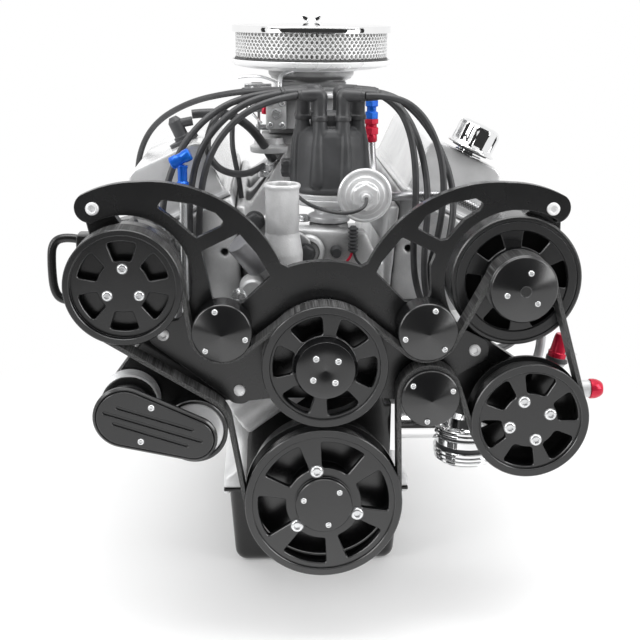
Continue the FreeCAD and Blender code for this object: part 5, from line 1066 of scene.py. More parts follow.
def slot_loop(first, second, first_r, second_r, steps=28):
    """The outline round two circles of different sizes, as a belt would lie."""
    a = Vector(first)
    b = Vector(second)
    way = b - a
    heading = math.atan2(way.y, way.x)
    lean = math.acos((first_r - second_r) / way.length)
    loop = []
    for step in range(steps + 1):
        angle = heading + lean + (math.tau - 2 * lean) * step / steps
        loop.append((a.x + first_r * math.cos(angle), a.y + first_r * math.sin(angle)))
    for step in range(steps + 1):
        angle = heading - lean + 2 * lean * step / steps
        loop.append((b.x + second_r * math.cos(angle), b.y + second_r * math.sin(angle)))
    return loop


def arm_loop(pivot_r):
    """The arm's outline, 9 mm slimmer at the wheel than at the pivot."""
    return slot_loop(TENSION_PIVOT, TENSION_WHEEL, pivot_r, pivot_r - 9)


def tensioner_cover():
    """A stepped cover plate with a rim and three milled grooves."""
    grooves = []
    for start, end in COVER_GROOVES:
        grooves.append(slot_loop(start, end, 2, 1.99, 8))
    rim = plate("cover_rim", [arm_loop(36), arm_loop(31)], -704.5, 7.5, 2, BILLET)
    face = plate("cover_face", [arm_loop(31.5)] + grooves, -706, 3, 0.7, BILLET)
    floor = plate("cover_floor", [arm_loop(34)], -703.2, 6, 0.5, BILLET)
    wheel = on_axis(TENSION_WHEEL)
    arm = [
        turned("arm_hub", [(10.2, 656.3), (27, 656.3), (27, 694), (10.2, 694)],
               on_axis(TENSION_PIVOT), BILLET, closed=True),
        plate("arm_web", [arm_loop(25)], -697, 12, 1, BILLET),
        turned("arm_shoulder", [(0, 644), (8, 644), (8, 681), (13, 681), (13, 690), (0, 690)],
               wheel, STEEL),
    ]
    cover = axis_uv(joined("tensioner_cover", [rim, face, floor] + arm), TENSION_PIVOT)
    fit(cover, "tensioner_arm", "tensioner_swing")
    buttons("tensioner_cover_screws", "tensioner_swing", COVER_SCREWS, -705.8, 3.9, 2.4)


tensioner_cover()


def tensioner_wheel():
    """The smooth wheel with the bright bearing plate that shows behind the cover."""
    place = on_axis(TENSION_WHEEL)
    wheel = turned("tensioner_wheel", [
        (33.6, 677), (34.4, 680), (37, 680), (38, 679), (38, 647), (37, 646), (8.1, 646),
        (8.1, 670), (33.6, 670),
    ], place, BILLET, 128, closed=True)
    ring = turned("tensioner_plate", [(14.5, 673), (14.5, 676.5), (32.6, 677.2), (33.4, 676), (33.4, 672)],
                  place, MACHINED, 128, closed=True)
    wheel = joined("tensioner_wheel", [axis_uv(wheel, TENSION_WHEEL), axis_uv(ring, TENSION_WHEEL)])
    fit(wheel, "tensioner_pulley", "tensioner_wheel")


tensioner_wheel()

# Air cleaner

CLEANER = (0, -232)
CLEANER_FOOT = 487.5
SCREEN_R = 108.6
SCREEN_COLUMNS = 96
SCREEN_ROWS = 4
SCREEN_LOW = 497
SCREEN_HIGH = 533.5


def screen_cell():
    """One long six-sided opening of the expanded metal, as a thin frame facing +X."""
    work = bmesh.new()
    half_w = math.pi * SCREEN_R / SCREEN_COLUMNS
    half_h = (SCREEN_HIGH - SCREEN_LOW) / SCREEN_ROWS / 2
    outline = [(half_w, 0.45), (half_w, -0.45), (0, -1), (-half_w, -0.45), (-half_w, 0.45), (0, 1)]
    rings = []
    for scale_y, scale_z, depth in ((1, 1, -0.45), (1, 1, 0.35), (0.66, 0.82, 0.45), (0.66, 0.82, -0.45)):
        rings.append([
            work.verts.new(mm((depth, y * scale_y, z * half_h * scale_z))) for y, z in outline
        ])
    for first, second in zip(rings, rings[1:] + rings[:1]):
        for step in range(6):
            after = (step + 1) % 6
            work.faces.new((first[step], first[after], second[after], second[step]))
    return mesh_piece("screen_cell", work, SATIN, 20)


def pleat():
    """One fold of the filter paper."""
    work = bmesh.new()
    half = math.pi * 106 / 96
    shape = [(-14, -half), (0, -0.5), (0.6, 0), (0, 0.5), (-14, half)]
    low = [work.verts.new(mm((x, y, 0))) for x, y in shape]
    high = [work.verts.new(mm((x, y, SCREEN_HIGH - SCREEN_LOW + 1))) for x, y in shape]
    for step in range(4):
        work.faces.new((low[step], low[step + 1], high[step + 1], high[step]))
    work.faces.new(low)
    work.faces.new(high)
    work.faces.new((low[0], low[4], high[4], high[0]))
    return mesh_piece("filter_pleat", work, FILTER_PAPER, 20)


def air_cleaner():
    """A screened, pleated ring between a dished base and a chrome lid."""
    cell = screen_cell()
    TEMPLATES.append(cell)
    fold = pleat()
    TEMPLATES.append(fold)
    step = (SCREEN_HIGH - SCREEN_LOW) / SCREEN_ROWS
    rows = []
    for row in range(SCREEN_ROWS * 2 + 1):
        height = SCREEN_LOW + step * row / 2
        if height < SCREEN_LOW + 1 or height > SCREEN_HIGH - 1:
            continue
        shift = 360 / SCREEN_COLUMNS * (0.5 if row % 2 else 0)
        rows.append(ring_of("screen_row_%d" % row, cell, SCREEN_COLUMNS, SCREEN_R, shift,
                            (*CLEANER, height), SATIN, LEVEL))
    screen = joined("filter_screen", rows)
    folds = ring_of("filter_pleats", fold, 96, 106, 0, (*CLEANER, SCREEN_LOW - 0.5), FILTER_PAPER, LEVEL)
    foot = CLEANER_FOOT
    seals = joined("filter_seals", [
        turned("filter_seal_low", [
            (80, foot + 4.4), (108.5, foot + 4.4), (110.4, foot + 5.4), (110.4, foot + 8.2),
            (108, foot + 9.6),
            (80, foot + 9.6)], upright(*CLEANER), RUBBER, 160, closed=True),
        turned("filter_seal_high", [
            (80, 533.1), (108, 533.1), (109.6, 533.6), (109.6, 535), (80, 535)],
            upright(*CLEANER), RUBBER, 160, closed=True),
    ])
    for piece in (screen, folds, seals):
        fit(piece, "air_filter_element")
    base = turned("cleaner_base", [
        (61.5, foot + 0.3), (61.5, foot - 7.5), (63, foot - 9), (68, foot - 9), (69.4, foot - 8),
        (70.6, foot + 0.2), (72, foot + 1), (88, foot + 0.2), (95, foot - 5.6), (110, foot - 2.4),
        (113.4, foot - 1), (114.4, foot + 1.4), (114.4, foot + 5.6), (113.6, foot + 6.4), (112.4, foot + 5.4),
        (112, foot + 3), (96, foot - 2), (90, foot + 3.6), (61.5, foot + 3.8),
    ], upright(*CLEANER), SATIN, 160, closed=True)
    fit(base, "air_cleaner_base")
    top = foot + 55
    lid = turned("cleaner_lid", [
        (3.4, top - 1.6), (40, top - 2.6), (104, top - 7.6), (111.6, top - 7.6), (112, top - 10.6),
        (112.8, top - 11.4), (113.9, top - 11), (114.5, top - 9.8), (114.2, top - 8.4), (114.2, top - 3.8),
        (114.5, top - 2.8), (113.8, top - 1.8), (112.6, top - 1.6), (107, top - 2), (101, top - 3.2),
        (72, top - 0.8), (44, top + 1.2), (16, top + 1.9), (3.4, top + 1.9),
    ], upright(*CLEANER), CHROME, 160, closed=True)
    nut = turned("wing_nut_body", [
        (0, top + 2), (7.4, top + 2), (7.8, top + 2.8), (6, top + 5), (4.8, top + 8), (3.8, top + 8.8),
        (3.1, top + 8.8), (3.1, top + 10.4), (2.6, top + 11), (0, top + 11),
    ], upright(*CLEANER), CHROME, 48)
    stud = turned("cleaner_stud", rod(3.1, 476, top + 2.4),
                  upright(*CLEANER), STEEL, 24)
    wings = []
    for side in (-1, 1):
        work = bmesh.new()
        outline = [
            (3.4, 2.6), (8.4, 3.8), (12.4, 7.2), (13.6, 10.6), (12.2, 12.4), (9.4, 11.6), (6.4, 8.6),
            (3.2, 7.6),
        ]
        front = [work.verts.new(mm((CLEANER[0] + side * x, CLEANER[1] - 1.2, top + z))) for x, z in outline]
        back = [work.verts.new(mm((CLEANER[0] + side * x, CLEANER[1] + 1.2, top + z))) for x, z in outline]
        work.faces.new(front)
        work.faces.new(back)
        for step in range(len(outline)):
            after = (step + 1) % len(outline)
            work.faces.new((front[step], front[after], back[after], back[step]))
        bmesh.ops.bevel(work, geom=list(work.edges), offset=0.0005, segments=2, affect="EDGES")
        wings.append(mesh_piece("wing", work, CHROME, 50))
    lid = joined("cleaner_lid", [lid, nut, stud] + wings)
    fit(lid, "air_cleaner_lid")


air_cleaner()


# Ignition: moulded cap with ribs and towers, bright bowl, vacuum canister

def cap_rib(work, degrees, stations):
    """A half-round rib up the cap's side; a station is (height, half width, wall radius, stand)."""
    angle = math.radians(degrees)
    out = Vector((math.cos(angle), math.sin(angle), 0))
    across = Vector((-math.sin(angle), math.cos(angle), 0))
    rows = []
    for height, half, wall, stand in stations:
        base = Vector((DIST[0], DIST[1], height))
        spots = [(wall - 6, half), (wall - 6, -half)]
        for step in range(9):
            turn = math.pi * step / 8
            spots.append((wall + stand * math.sin(turn), -half * math.cos(turn)))
        rows.append([work.verts.new((base + out * reach + across * side) * MM) for reach, side in spots])
    for first, second in zip(rows, rows[1:]):
        for step in range(len(first)):
            after = (step + 1) % len(first)
            work.faces.new((first[step], first[after], second[after], second[step]))
    work.faces.new(rows[0])
    work.faces.new(rows[-1])


def distributor():
    """The moulded cap with its ribs and towers, the bright bowl and the vacuum canister."""
    body = turned("cap_body", [
        (0, 337.4), (51.4, 337.4), (51.8, 338.2), (51.8, 343), (50.4, 344.6), (50.2, 350), (49, 372),
        (47.4, 398), (45.6, 409), (42, 416), (37, 419.5), (0, 420.5),
    ], upright(*DIST), BAKELITE)
    ribs = bmesh.new()
    towers = bmesh.new()
    for step in range(8):
        degrees = 22.5 + 45 * step
        cap_rib(ribs, degrees, [
            (344.5, 3, 50.3, 0.4), (345.5, 5.6, 50.3, 2.4), (348, 7.6, 50.3, 3.8), (353, 8.2, 50.2, 4.6),
            (375, 7.2, 49, 5), (400, 6, 46.8, 5.4), (414, 5.4, 43, 6.2), (424, 5.2, 40, 6.8),
        ])
        spot = tower_spot(step)
        turn_profile(towers, [(0, 412), (9.6, 412), (9, 424), (8.2, 429.5), (7.2, 430.5), (7, 445), (0, 445)],
                     24, place=upright(spot.x, spot.y))
    centre = turned("cap_centre", [
        (0, 414), (25.5, 414), (24.8, 428), (22.5, 434.5), (18, 437.8), (0, 438.6),
    ],
                    upright(*DIST), BAKELITE)
    tab = block_mesh("cap_tab", (-46.6, -456, 355), (-28, -432, 377), BAKELITE, 2.5)
    lips = [block_mesh("cap_lip", (-47.6, -457, z), (-30, -431, z + 2.4), BAKELITE, 0.8) for z in (360, 370)]
    cap = fused("distributor_cap_skin", [
        body, mesh_piece("cap_ribs", ribs, BAKELITE), mesh_piece("cap_towers", towers, BAKELITE), centre, tab,
    ] + lips, 1.15, BAKELITE, 3)
    fit(cap, "distributor_cap")

    housing = turned("distributor_bowl", [
        (7.2, 236.2), (15.95, 236.2), (15.95, 296.3), (27, 296.3), (27.6, 297.2), (27.6, 303), (25, 305),
        (19, 307.5), (19.4, 311), (28, 315.5), (41, 319.6), (48.4, 321), (50.6, 322.6), (50.9, 324),
        (50.9, 329), (50.3, 329.8), (50.9, 330.6), (50.9, 335.6), (50, 336.8), (42, 336.8), (42, 329),
        (7.2, 325),
    ], upright(*DIST), MACHINED, 128, closed=True)
    clamp = turned("distributor_clamp_bolt", [
        (0, 296.6), (8, 296.6), (8, 298.4), (6.4, 298.6, "hex"), (6.4, 304, "hex"), (5.6, 305), (0, 305),
    ],
                   upright(-18, -448), STEEL, 48)
    housing = joined("distributor_bowl", [housing, clamp])
    fit(housing, "distributor_housing")

    place = facing(57, 0, 340)
    can = turned("vacuum_canister", [
        (0, 493), (12, 494), (27, 500), (32, 502), (34, 504.6), (34.4, 506.6), (33.8, 508.8), (32.4, 509.8),
        (31, 509.4), (30.2, 508), (27, 508.4), (24.6, 509.6), (23.8, 511.2), (18.6, 513), (17.6, 514.6),
        (16.4, 515), (15, 515.4, "hex"), (15, 521.6, "hex"), (13.8, 522.6, "hex"), (12.2, 522.8),
        (8.6, 522.8), (8, 521.8), (5.4, 521.8), (5.4, 529.4), (4.8, 530.2), (0, 530.2),
    ], place, MACHINED, 120)
    arm = block_mesh("canister_arm", (28, -506, 319), (48, -478, 323), STEEL, 0.8)
    tail = turned("canister_tail", [
        (0, 480), (6, 480), (7.5, 484), (11, 490), (16, 496), (0, 496),
    ], place, STEEL, 48)
    can = joined("vacuum_canister", [can, arm, tail])
    fit(can, "vacuum_advance")


distributor()

# Cooling: upright hose neck on its flange

NECK = (-47, -545)


def hose_neck():
    """The upright water neck, its flange, two black bolts and a plug."""
    x, y = NECK
    root = turned("neck_root", [
        (0, 258), (25, 258), (25.6, 276), (23, 290), (20.7, 302), (0, 302),
    ], upright(x, y), MACHINED)
    flange = plate("neck_flange", [[
        (x - 40, 302), (x - 37, 312), (x - 30, 316), (x - 22, 312), (x - 8, 300), (x + 26, 292),
        (x + 36, 284), (x + 38, 272),
        (x + 32, 258), (x + 20, 250), (x - 20, 250), (x - 28, 262), (x - 36, 284)]], -512, 12, 1.2, MACHINED)
    bridge = block_mesh("neck_bridge", (x - 21, y - 4, 256), (x + 21, -504, 289), MACHINED, 6)
    cast = fused("neck_casting", [root, flange, bridge], 1.5, CAST, 6)
    pipe = turned("neck_pipe", [
        (17.7, 276), (17.7, 359), (18.3, 360.6), (19.6, 361.2), (21.6, 360.8), (22.4, 359.4), (22.3, 357.6),
        (21.2, 356), (20.6, 353.5), (20.6, 296), (17, 290), (0, 290), (0, 276),
    ], upright(x, y), CAST, 96)
    neck = joined("hose_neck", [cast, pipe])
    fit(neck, "thermostat_housing")
    bolts = bmesh.new()
    for x, z in ((-81, 309), (-17, 268)):
        turn_profile(bolts, [
            (0, 499), (12.6, 499), (12.6, 501.4), (11.8, 502), (9.4, 502.2), (9.4, 503, "hex"),
            (9.4, 510, "hex"), (8.2, 511.4), (0, 511.8),
        ], 36, place=facing(x, -12, z))
    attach(mesh_piece("neck_flange_bolts", bolts, BAKELITE), ENGINE)
    plug = turned("crossover_plug", [
        (0, 498), (7, 498), (7, 509), (6, 516), (0, 516),
    ], facing(22, 0, 268), BAKELITE, 32)
    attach(plug, ENGINE)


hose_neck()

# Fluted filler cap on the right cover

TILT = math.radians(25)


def filler_cap():
    """A fluted chrome cap on its neck, square to the cover."""
    place = along((198.8, -425, 381.2), (math.sin(TILT), 0, math.cos(TILT)))
    neck = turned("filler_neck", [
        (0, -8), (12.2, -8), (12.2, 0.4), (19.2, 0.4), (19.2, 2), (17.2, 3), (17.2, 7.4), (0, 7.4),
    ], place, CHROME)
    ring = turned("filler_seal", [(0, 5.6), (24, 5.6), (24.6, 7.9), (0, 7.9)], place, RUBBER)
    cap = turned("filler_grip", [
        (0, 7.6), (31.8, 7.6), (33, 8.2), (33.2, 9.4), (32.2, 10.4), (29.8, 11.2), (29.2, 12.6),
        (29, 15, "flute"), (29, 33, "flute"), (28.4, 36, "flute"), (26.8, 39.4), (24, 41.6), (20.6, 42.6),
        (19.8, 42), (18.4, 42.2), (8, 43.4), (0, 43.6),
    ], place, CHROME, 160)
    whole = joined("filler_cap", [cap, ring, neck])
    fit(whole, "oil_filler_cap")


filler_cap()

# Dipstick: steel tube and blue tee grip


def oil_gauge():
    """The dipstick in its tube."""
    x, y = -169.7, -507
    tube = turned("gauge_tube", [
        (0, 150), (4.8, 150), (4.8, 344), (6.4, 345), (6.4, 348), (4.8, 349), (0, 349),
    ], upright(x, y), STEEL, 32)
    stem = turned("gauge_stem", [
        (0, 347.5), (6.6, 347.5), (7.6, 349), (7.6, 356), (6, 358), (6, 372), (7.4, 377), (0, 379),
    ], upright(x, y), BLUE, 48)
    grip = turned("gauge_grip", [
        (0, 0), (6.6, 0), (8, 1.2), (8, 9), (7, 11), (7, 17), (8, 19), (8, 26), (6.4, 27.4), (0, 27.4),
    ], along((x - 14, y, 379), (0.88, 0, 0.47)), BLUE, 48)
    gauge = joined("oil_gauge", [tube, stem, grip])
    fit(gauge, "dipstick")


oil_gauge()

# Fuel side: hose ends, pump rings and shipping caps


def fuel_fittings():
    """The red hose end, the blue adapter and the carburettor's inlet pipe."""
    x, y = 80, -330
    red = turned("hose_end", [
        (0, 386), (7.4, 386), (8.6, 388), (8.6, 395), (8, 396.4), (9.4, 397, "hex"), (9.4, 406, "hex"),
        (8, 407.2), (8, 410.6), (9.2, 411.6, "hex"), (9.2, 417.8, "hex"), (0, 417.9),
    ], upright(x, y), RED, 72)
    blue = turned("adapter", [
        (0, 418.3), (8.6, 418.3, "hex"), (8.6, 427, "hex"), (6.6, 428.4), (6.6, 434), (8.4, 435.4, "hex"),
        (8.4, 443, "hex"), (6.4, 445.6), (0, 446),
    ], upright(x, y), BLUE, 72)
    inlet = turned("inlet_pipe", [
        (0, 0), (5.4, 0), (5.4, 20), (7, 21, "hex"), (7, 29, "hex"), (5.6, 31.6), (0, 31.7),
    ],
                   along((54.3, y, 451.2), (1, 0, 0)), STEEL, 48)
    ends = joined("fuel_fittings", [red, blue, inlet])
    fit(ends, "fuel_hose")


fuel_fittings()


PUMP = (191, -545)


def pump_rings():
    """Chrome bands, dark gaps and a ring of screws that dress the fuel pump."""
    place = upright(*PUMP)
    chrome = bmesh.new()
    dark = bmesh.new()
    bands = ((1, 3.4, 34.4), (5, 9.4, 39.6), (10.8, 15.2, 41), (16.2, 21, 41.4), (26, 36, 38.6), (41, 45, 43),
             (46.2, 50.4, 43))
    for low, high, radius in bands:
        turn_profile(chrome, [
            (28, low), (radius - 0.9, low), (radius, low + 0.8), (radius, high - 0.8), (radius - 0.9, high),
            (28, high),
        ], 96, True, place)
    for low, high, radius in ((21, 25.8, 38), (36.2, 41, 38), (45, 46.2, 42)):
        turn_profile(dark, [(26, low), (radius, low), (radius, high), (26, high)], 96, True, place)
    for spot in spots_round(PUMP, 38.6, 10):
        turn_profile(chrome, [
            (0, 49.6), (3.8, 49.6), (3.8, 52.8), (3, 53.6), (0, 53.8),
        ], 20, place=upright(*spot))
    parts = [mesh_piece("pump_bands", chrome, CHROME), mesh_piece("pump_gaps", dark, BAKELITE)]
    rings = joined("pump_rings", parts)
    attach(rings, ENGINE)


pump_rings()


def shipping_caps():
    """The steering pump's two ports, each closed by a red cap."""
    tall_place = along((284, -599, 118), (0.16, 0, 1))
    tall = turned("tall_cap", [
        (0, 39), (12.6, 39), (12.8, 41), (12.8, 45), (11.4, 46), (10.8, 50), (9.6, 62), (8.8, 66),
        (7.6, 68), (0, 68.4),
    ], tall_place, RED, 12)
    collar = turned("port_collar", [(0, 33), (13.4, 33), (13.8, 34), (13.8, 38.6), (12.8, 39.4), (0, 39.4)],
                    tall_place, BAKELITE, 48)
    elbow = turned("port_elbow", rod(9, 0, 34), tall_place, STEEL, 32)
    round_cap = turned("round_cap", [
        (0, -7), (11.6, -7), (12.4, -6), (12.4, -1), (11.8, 2), (10.2, 6), (8.2, 8.6), (7.4, 9.2),
        (6.8, 8.4), (0, 8.2),
    ], along((339.2, -599, 114.4), (1, 0, 0)), RED, 64)
    caps = joined("shipping_caps", [tall, collar, elbow, round_cap])
    fit(caps, "port_caps")


shipping_caps()


# Alternator: black ring case with fan windows and two ears


def ear_loop(axis, bolt, root_r, root_half, tip_r):
    """A tapered ear from a round case to a bolt."""
    heading = math.atan2(bolt[1] - axis[1], bolt[0] - axis[0])
    spread = math.asin(root_half / root_r)
    turns = [(axis, root_r, heading - spread)]
    turns += [(bolt, tip_r, heading + math.radians(15 * step)) for step in range(-6, 7)]
    turns.append((axis, root_r, heading + spread))
    return [(spot[0] + r * math.cos(angle), spot[1] + r * math.sin(angle)) for spot, r, angle in turns]


def alternator_case():
    """A ring case with windows at the front and the rear."""
    place = on_axis(ALTERNATOR)
    shell = turned("case_shell", [
        (60, 634), (60, 640.4), (61, 641.4), (70.4, 641.6), (70.8, 640.2), (71.8, 640.2), (72.2, 641.6),
        (75.4, 641.6), (77, 640), (77, 603), (75.6, 602), (75.6, 596), (77, 595), (77, 576), (74, 566),
        (69, 559), (66, 558.4), (60, 558.4), (60, 564), (66, 570), (71, 590), (71, 630),
    ], place, BILLET, 160, closed=True)
    front = [spots_round(ALTERNATOR, 61, 96), spots_round(ALTERNATOR, 14.2, 48)]
    back = [spots_round(ALTERNATOR, 61, 96), spots_round(ALTERNATOR, 14.2, 48)]
    for step in range(6):
        front.append(window_loop(ALTERNATOR, 41, 59, 8 + 60 * step, 16.5, 2.4))
    for step in range(10):
        back.append(window_loop(ALTERNATOR, 30, 52, 36 * step, 12, 2.4))
    face = plate("case_face", front, -640, 5, 0.9, BILLET)
    rear = plate("case_rear", back, -563.4, 5, 0.9, BILLET)
    ears = [
        plate("ear_high", [ear_loop(ALTERNATOR, (262, 347), 73, 26, 14)], -628, 20, 1, BILLET),
        plate("ear_low", [ear_loop(ALTERNATOR, (179, 178), 73, 26, 14)], -614, 20, 1, BILLET),
    ]
    case = axis_uv(joined("alternator_case_skin", [shell, face, rear] + ears), ALTERNATOR)
    fit(case, "alternator_case")


alternator_case()

# Sump: deep front, shallow rear, rolled rail


def tub(name, half_top, half_low, y0, y1, top, foot, lean, round_low, round_side):
    """A pressed tub with leaning walls, round upright corners and a rounder floor."""
    work = bmesh.new()
    rows = []
    for half, a, b, z in ((half_top, y0, y1, top), (half_low, y0 + lean, y1 - lean / 2, foot)):
        corners = ((-half, a, z), (half, a, z), (half, b, z), (-half, b, z))
        rows.append([work.verts.new(mm(corner)) for corner in corners])
    work.faces.new(rows[0])
    work.faces.new(rows[1])
    for step in range(4):
        after = (step + 1) % 4
        work.faces.new((rows[0][step], rows[0][after], rows[1][after], rows[1][step]))
    sides = [edge for edge in work.edges if abs(edge.verts[0].co.z - edge.verts[1].co.z) > 0.01]
    bmesh.ops.bevel(work, geom=sides, offset=round_side * MM, segments=6, affect="EDGES", profile=0.5)
    low = min(vert.co.z for vert in work.verts)
    rim = [edge for edge in work.edges if all(abs(vert.co.z - low) < 1e-5 for vert in edge.verts)]
    bmesh.ops.bevel(work, geom=rim, offset=round_low * MM, segments=7, affect="EDGES", profile=0.5)
    return mesh_piece(name, work, PAN_PAINT, 30)


def sump():
    """The oil pan: two tubs, the rail, its bolts and the drain plug."""
    deep = tub("sump_deep", 119, 110, -482, -250, -62, -186, 12, 17, 14)
    shallow = tub("sump_rear", 96, 92, -270, -26, -62, -118, 8, 12, 10)
    rail = block_mesh("sump_rail", (-125, -498, -65.2), (125, -16, -60.2), PAN_PAINT, 1.6)
    plug = turned("sump_plug", [(0, 0), (11, 0), (11, 3), (8, 3.4, "hex"), (8, 10, "hex"), (0, 10.6)],
                  along((113, -366, -150), (1, 0, 0)), STEEL, 48)
    heads = bmesh.new()
    for side in (-1, 1):
        for step in range(10):
            spot = (side * 121, -488 + 51.5 * step)
            turn_profile(heads, [(0, 60), (4.6, 60), (4.6, 67), (3.8, 70.2), (0, 70.4)], 16,
                         place=upright(*spot) @ Matrix.Rotation(math.pi, 4, "X"))
    bolts = mesh_piece("sump_bolts", heads, STEEL)
    pan = joined("sump", [deep, shallow, rail, plug, bolts])
    fit(pan, "oil_pan")


sump()

# Castings: the frame's solids with a foundry's soft edges

cast_skin("intake_manifold", 3, CAST, 7)
cast_skin("cylinder_head_left", 2.6, CAST, 5)
cast_skin("cylinder_head_right", 2.6, CAST, 5)
cast_skin("engine_block", 4.6, CAST, 4)
cast_skin("timing_cover", 2, PAN_PAINT, 6)
cast_skin("water_pump_body", 1.8, CAST, 8)
cast_skin("power_steering_pump", 1.6, CAST, 3)
cast_skin("tensioner_base", 1.8, PAN_PAINT, 4)
cast_skin("valve_cover_left", 2, POLISHED, 10)
cast_skin("valve_cover_right", 2, POLISHED, 10)
cast_skin("carburettor", 1.6, CAST, 5)

# Fasteners that show on the plate and the covers

hardware = bmesh.new()
for x, z, radius in ((-262, 347, 7.6), (262, 347, 7.6), (-187, 199, 7.2), (179, 178, 7.2)):
    turn_profile(hardware, [
        (0, 640.6), (radius * 0.46, 640.6, "hex"), (radius * 0.48, 643, "hex"), (radius * 0.62, 643.6),
        (radius * 0.9, 642.8), (radius, 641.6), (radius, 638), (4.2, 638), (4.2, 612), (0, 612),
    ], 40, place=facing(x, 0, z))
for x, z in ((-99, 130), (99, 130)):
    turn_profile(hardware, [
        (0, 644), (4.4, 643.8), (6.4, 642.8), (7, 641.2), (7, 638), (4.2, 638), (4.2, 612), (0, 612),
    ], 40, place=facing(x, 0, z))
for x, z, back in ((-187, 199, 512), (179, 178, 492), (-99, 130, 501), (99, 130, 501)):
    turn_profile(hardware, rod(9, back, 600), 40, place=facing(x, 0, z))
for centre in ((-117.3, 212.5), (116.5, 212.5), (122.3, 132.9)):
    turn_profile(hardware, [
        (0, 673), (7.6, 673), (7.6, 646.6), (12.6, 646.6), (12.6, 640.2), (4.2, 640.2), (4.2, 620),
        (0, 620),
    ], 48,
                 place=on_axis(centre))
hardware = mesh_piece("plate_hardware", hardware, SATIN)
fit(hardware, "bracket_hardware")
drum = turned("tensioner_drum_ribs", [
    (30, 632.5), (34.6, 632.5), (35.2, 633.5), (35.2, 635), (33.6, 635.8), (33.6, 638), (35, 638.8),
    (35, 640.8), (33.6, 641.6), (33.6, 643.6), (35, 644.4), (35, 646.4), (33.6, 647.2), (33.6, 649.2),
    (35, 650), (35, 652.6), (33.4, 654.4), (30, 655.2),
], on_axis(TENSION_PIVOT), MACHINED, 96, closed=True)
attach(drum, ENGINE)

# Crank damper drum and the steering pump's dark bracket, seen behind their wheels

damper = turned("damper_drum", [
    (16.2, 645.6), (38, 645.6), (40, 641.6), (78, 641.6), (84, 640.6), (86, 638), (86, 604), (84, 602),
    (82, 601), (82, 598), (66, 600), (60, 631), (34, 631), (26, 556), (16.2, 556),
], on_axis(CRANK), BILLET, 160, closed=True)
damper = axis_uv(damper, CRANK)
fit(damper, "harmonic_balancer", "crank")
backing = [spots_round(STEERING, 68.4, 96), spots_round(STEERING, 20, 48)]
for degrees in (97, 188):
    backing.append(window_loop(STEERING, 34, 60, degrees, 17, 3))
backing = plate("steering_backing", backing, -641, 4, 0.8, PAN_PAINT)
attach(backing, ENGINE)

# Hose ends and the pickup's lead

ends = bmesh.new()
for x, y, z, radius in ((-56, -314, 350, 8.6), (-70, -360, 348, 7)):
    turn_profile(ends, [
        (0, z - 6), (radius + 1.4, z - 6), (radius + 1.4, z + 1), (radius, z + 2), (radius, z + 9),
        (0, z + 9),
    ], 32, place=upright(x, y))
ends = mesh_piece("hose_sockets", ends, STEEL)
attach(ends, ENGINE)
boot = bmesh.new()
rows = [(0, 268), (4, 268)]
for step in range(7):
    z = 269 + 4.6 * step
    rows += [(4.2, z), (6.4, z + 1.2), (6.4, z + 2.6), (4.2, z + 3.6)]
rows += [(3.6, 302), (0, 302)]
turn_profile(boot, rows, 32, place=upright(43, -510))
boot = mesh_piece("lead_boot", boot, BAKELITE)
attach(boot, ENGINE)
lead = joined("pickup_lead", [
    tube("lead_red", [(42, -510, 269), (40, -512, 262), (35, -512, 257), (31, -511, 249)], 1.7, RED, 3),
    tube("lead_dark", [(44, -510, 269), (46, -512, 261), (50, -512, 255), (56, -511, 249)], 1.7, SILICONE, 3),
])
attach(lead, ENGINE)

# Compressor body behind its wheel


def compressor():
    """The compressor's body with its bosses, ears, port block and pipe."""
    place = on_axis(COMPRESSOR)
    body = turned("compressor_shell", [
        (0, 612), (50, 612), (54, 609), (54, 599), (47, 596), (47, 562), (52, 558), (55, 554),
        (55, 530), (52, 518), (46, 513.4), (0, 513.4),
    ], place, PAN_PAINT, 128)
    nose = turned("compressor_nose", rod(15, 611, 638), place, STEEL, 48)
    bosses = bmesh.new()
    heads = bmesh.new()
    for spot in spots_round(COMPRESSOR, 49, 6, 30):
        turn_profile(bosses, [(0, 520), (7, 520), (7, 606), (5.6, 608), (0, 608)], 24, place=on_axis(spot))
        turn_profile(heads, [
            (0, 513), (4.6, 513, "hex"), (4.6, 520.5, "hex"), (0, 520.5),
        ], 24, place=on_axis(spot))
    bosses = mesh_piece("compressor_bosses", bosses, PAN_PAINT)
    heads = mesh_piece("compressor_bolts_rear", heads, STEEL)
    ears = []
    for bolt, tip, front in (((-262, 347), 13.5, -628), ((-187, 199), 12.5, -616)):
        outline = ear_loop(COMPRESSOR, bolt, 50, 22, tip)
        ears.append(plate("compressor_ear", [outline], front, 20, 1, PAN_PAINT))
    block = block_mesh("compressor_port_block", (-296, -560, 262), (-270, -530, 300), PAN_PAINT, 3)
    pipe = tube("compressor_pipe", [
        (-292, -545, 292), (-308, -546, 296), (-326, -548, 290), (-328, -550, 262), (-326, -552, 226),
        (-312, -552, 216), (-290, -548, 222),
        (-268, -546, 240)], 5.4, PAN_PAINT, 5)
    whole = joined("compressor", [body, nose, bosses, heads, block, pipe] + ears)
    fit(whole, "ac_compressor")


compressor()

# Carburettor fittings on the side that shows


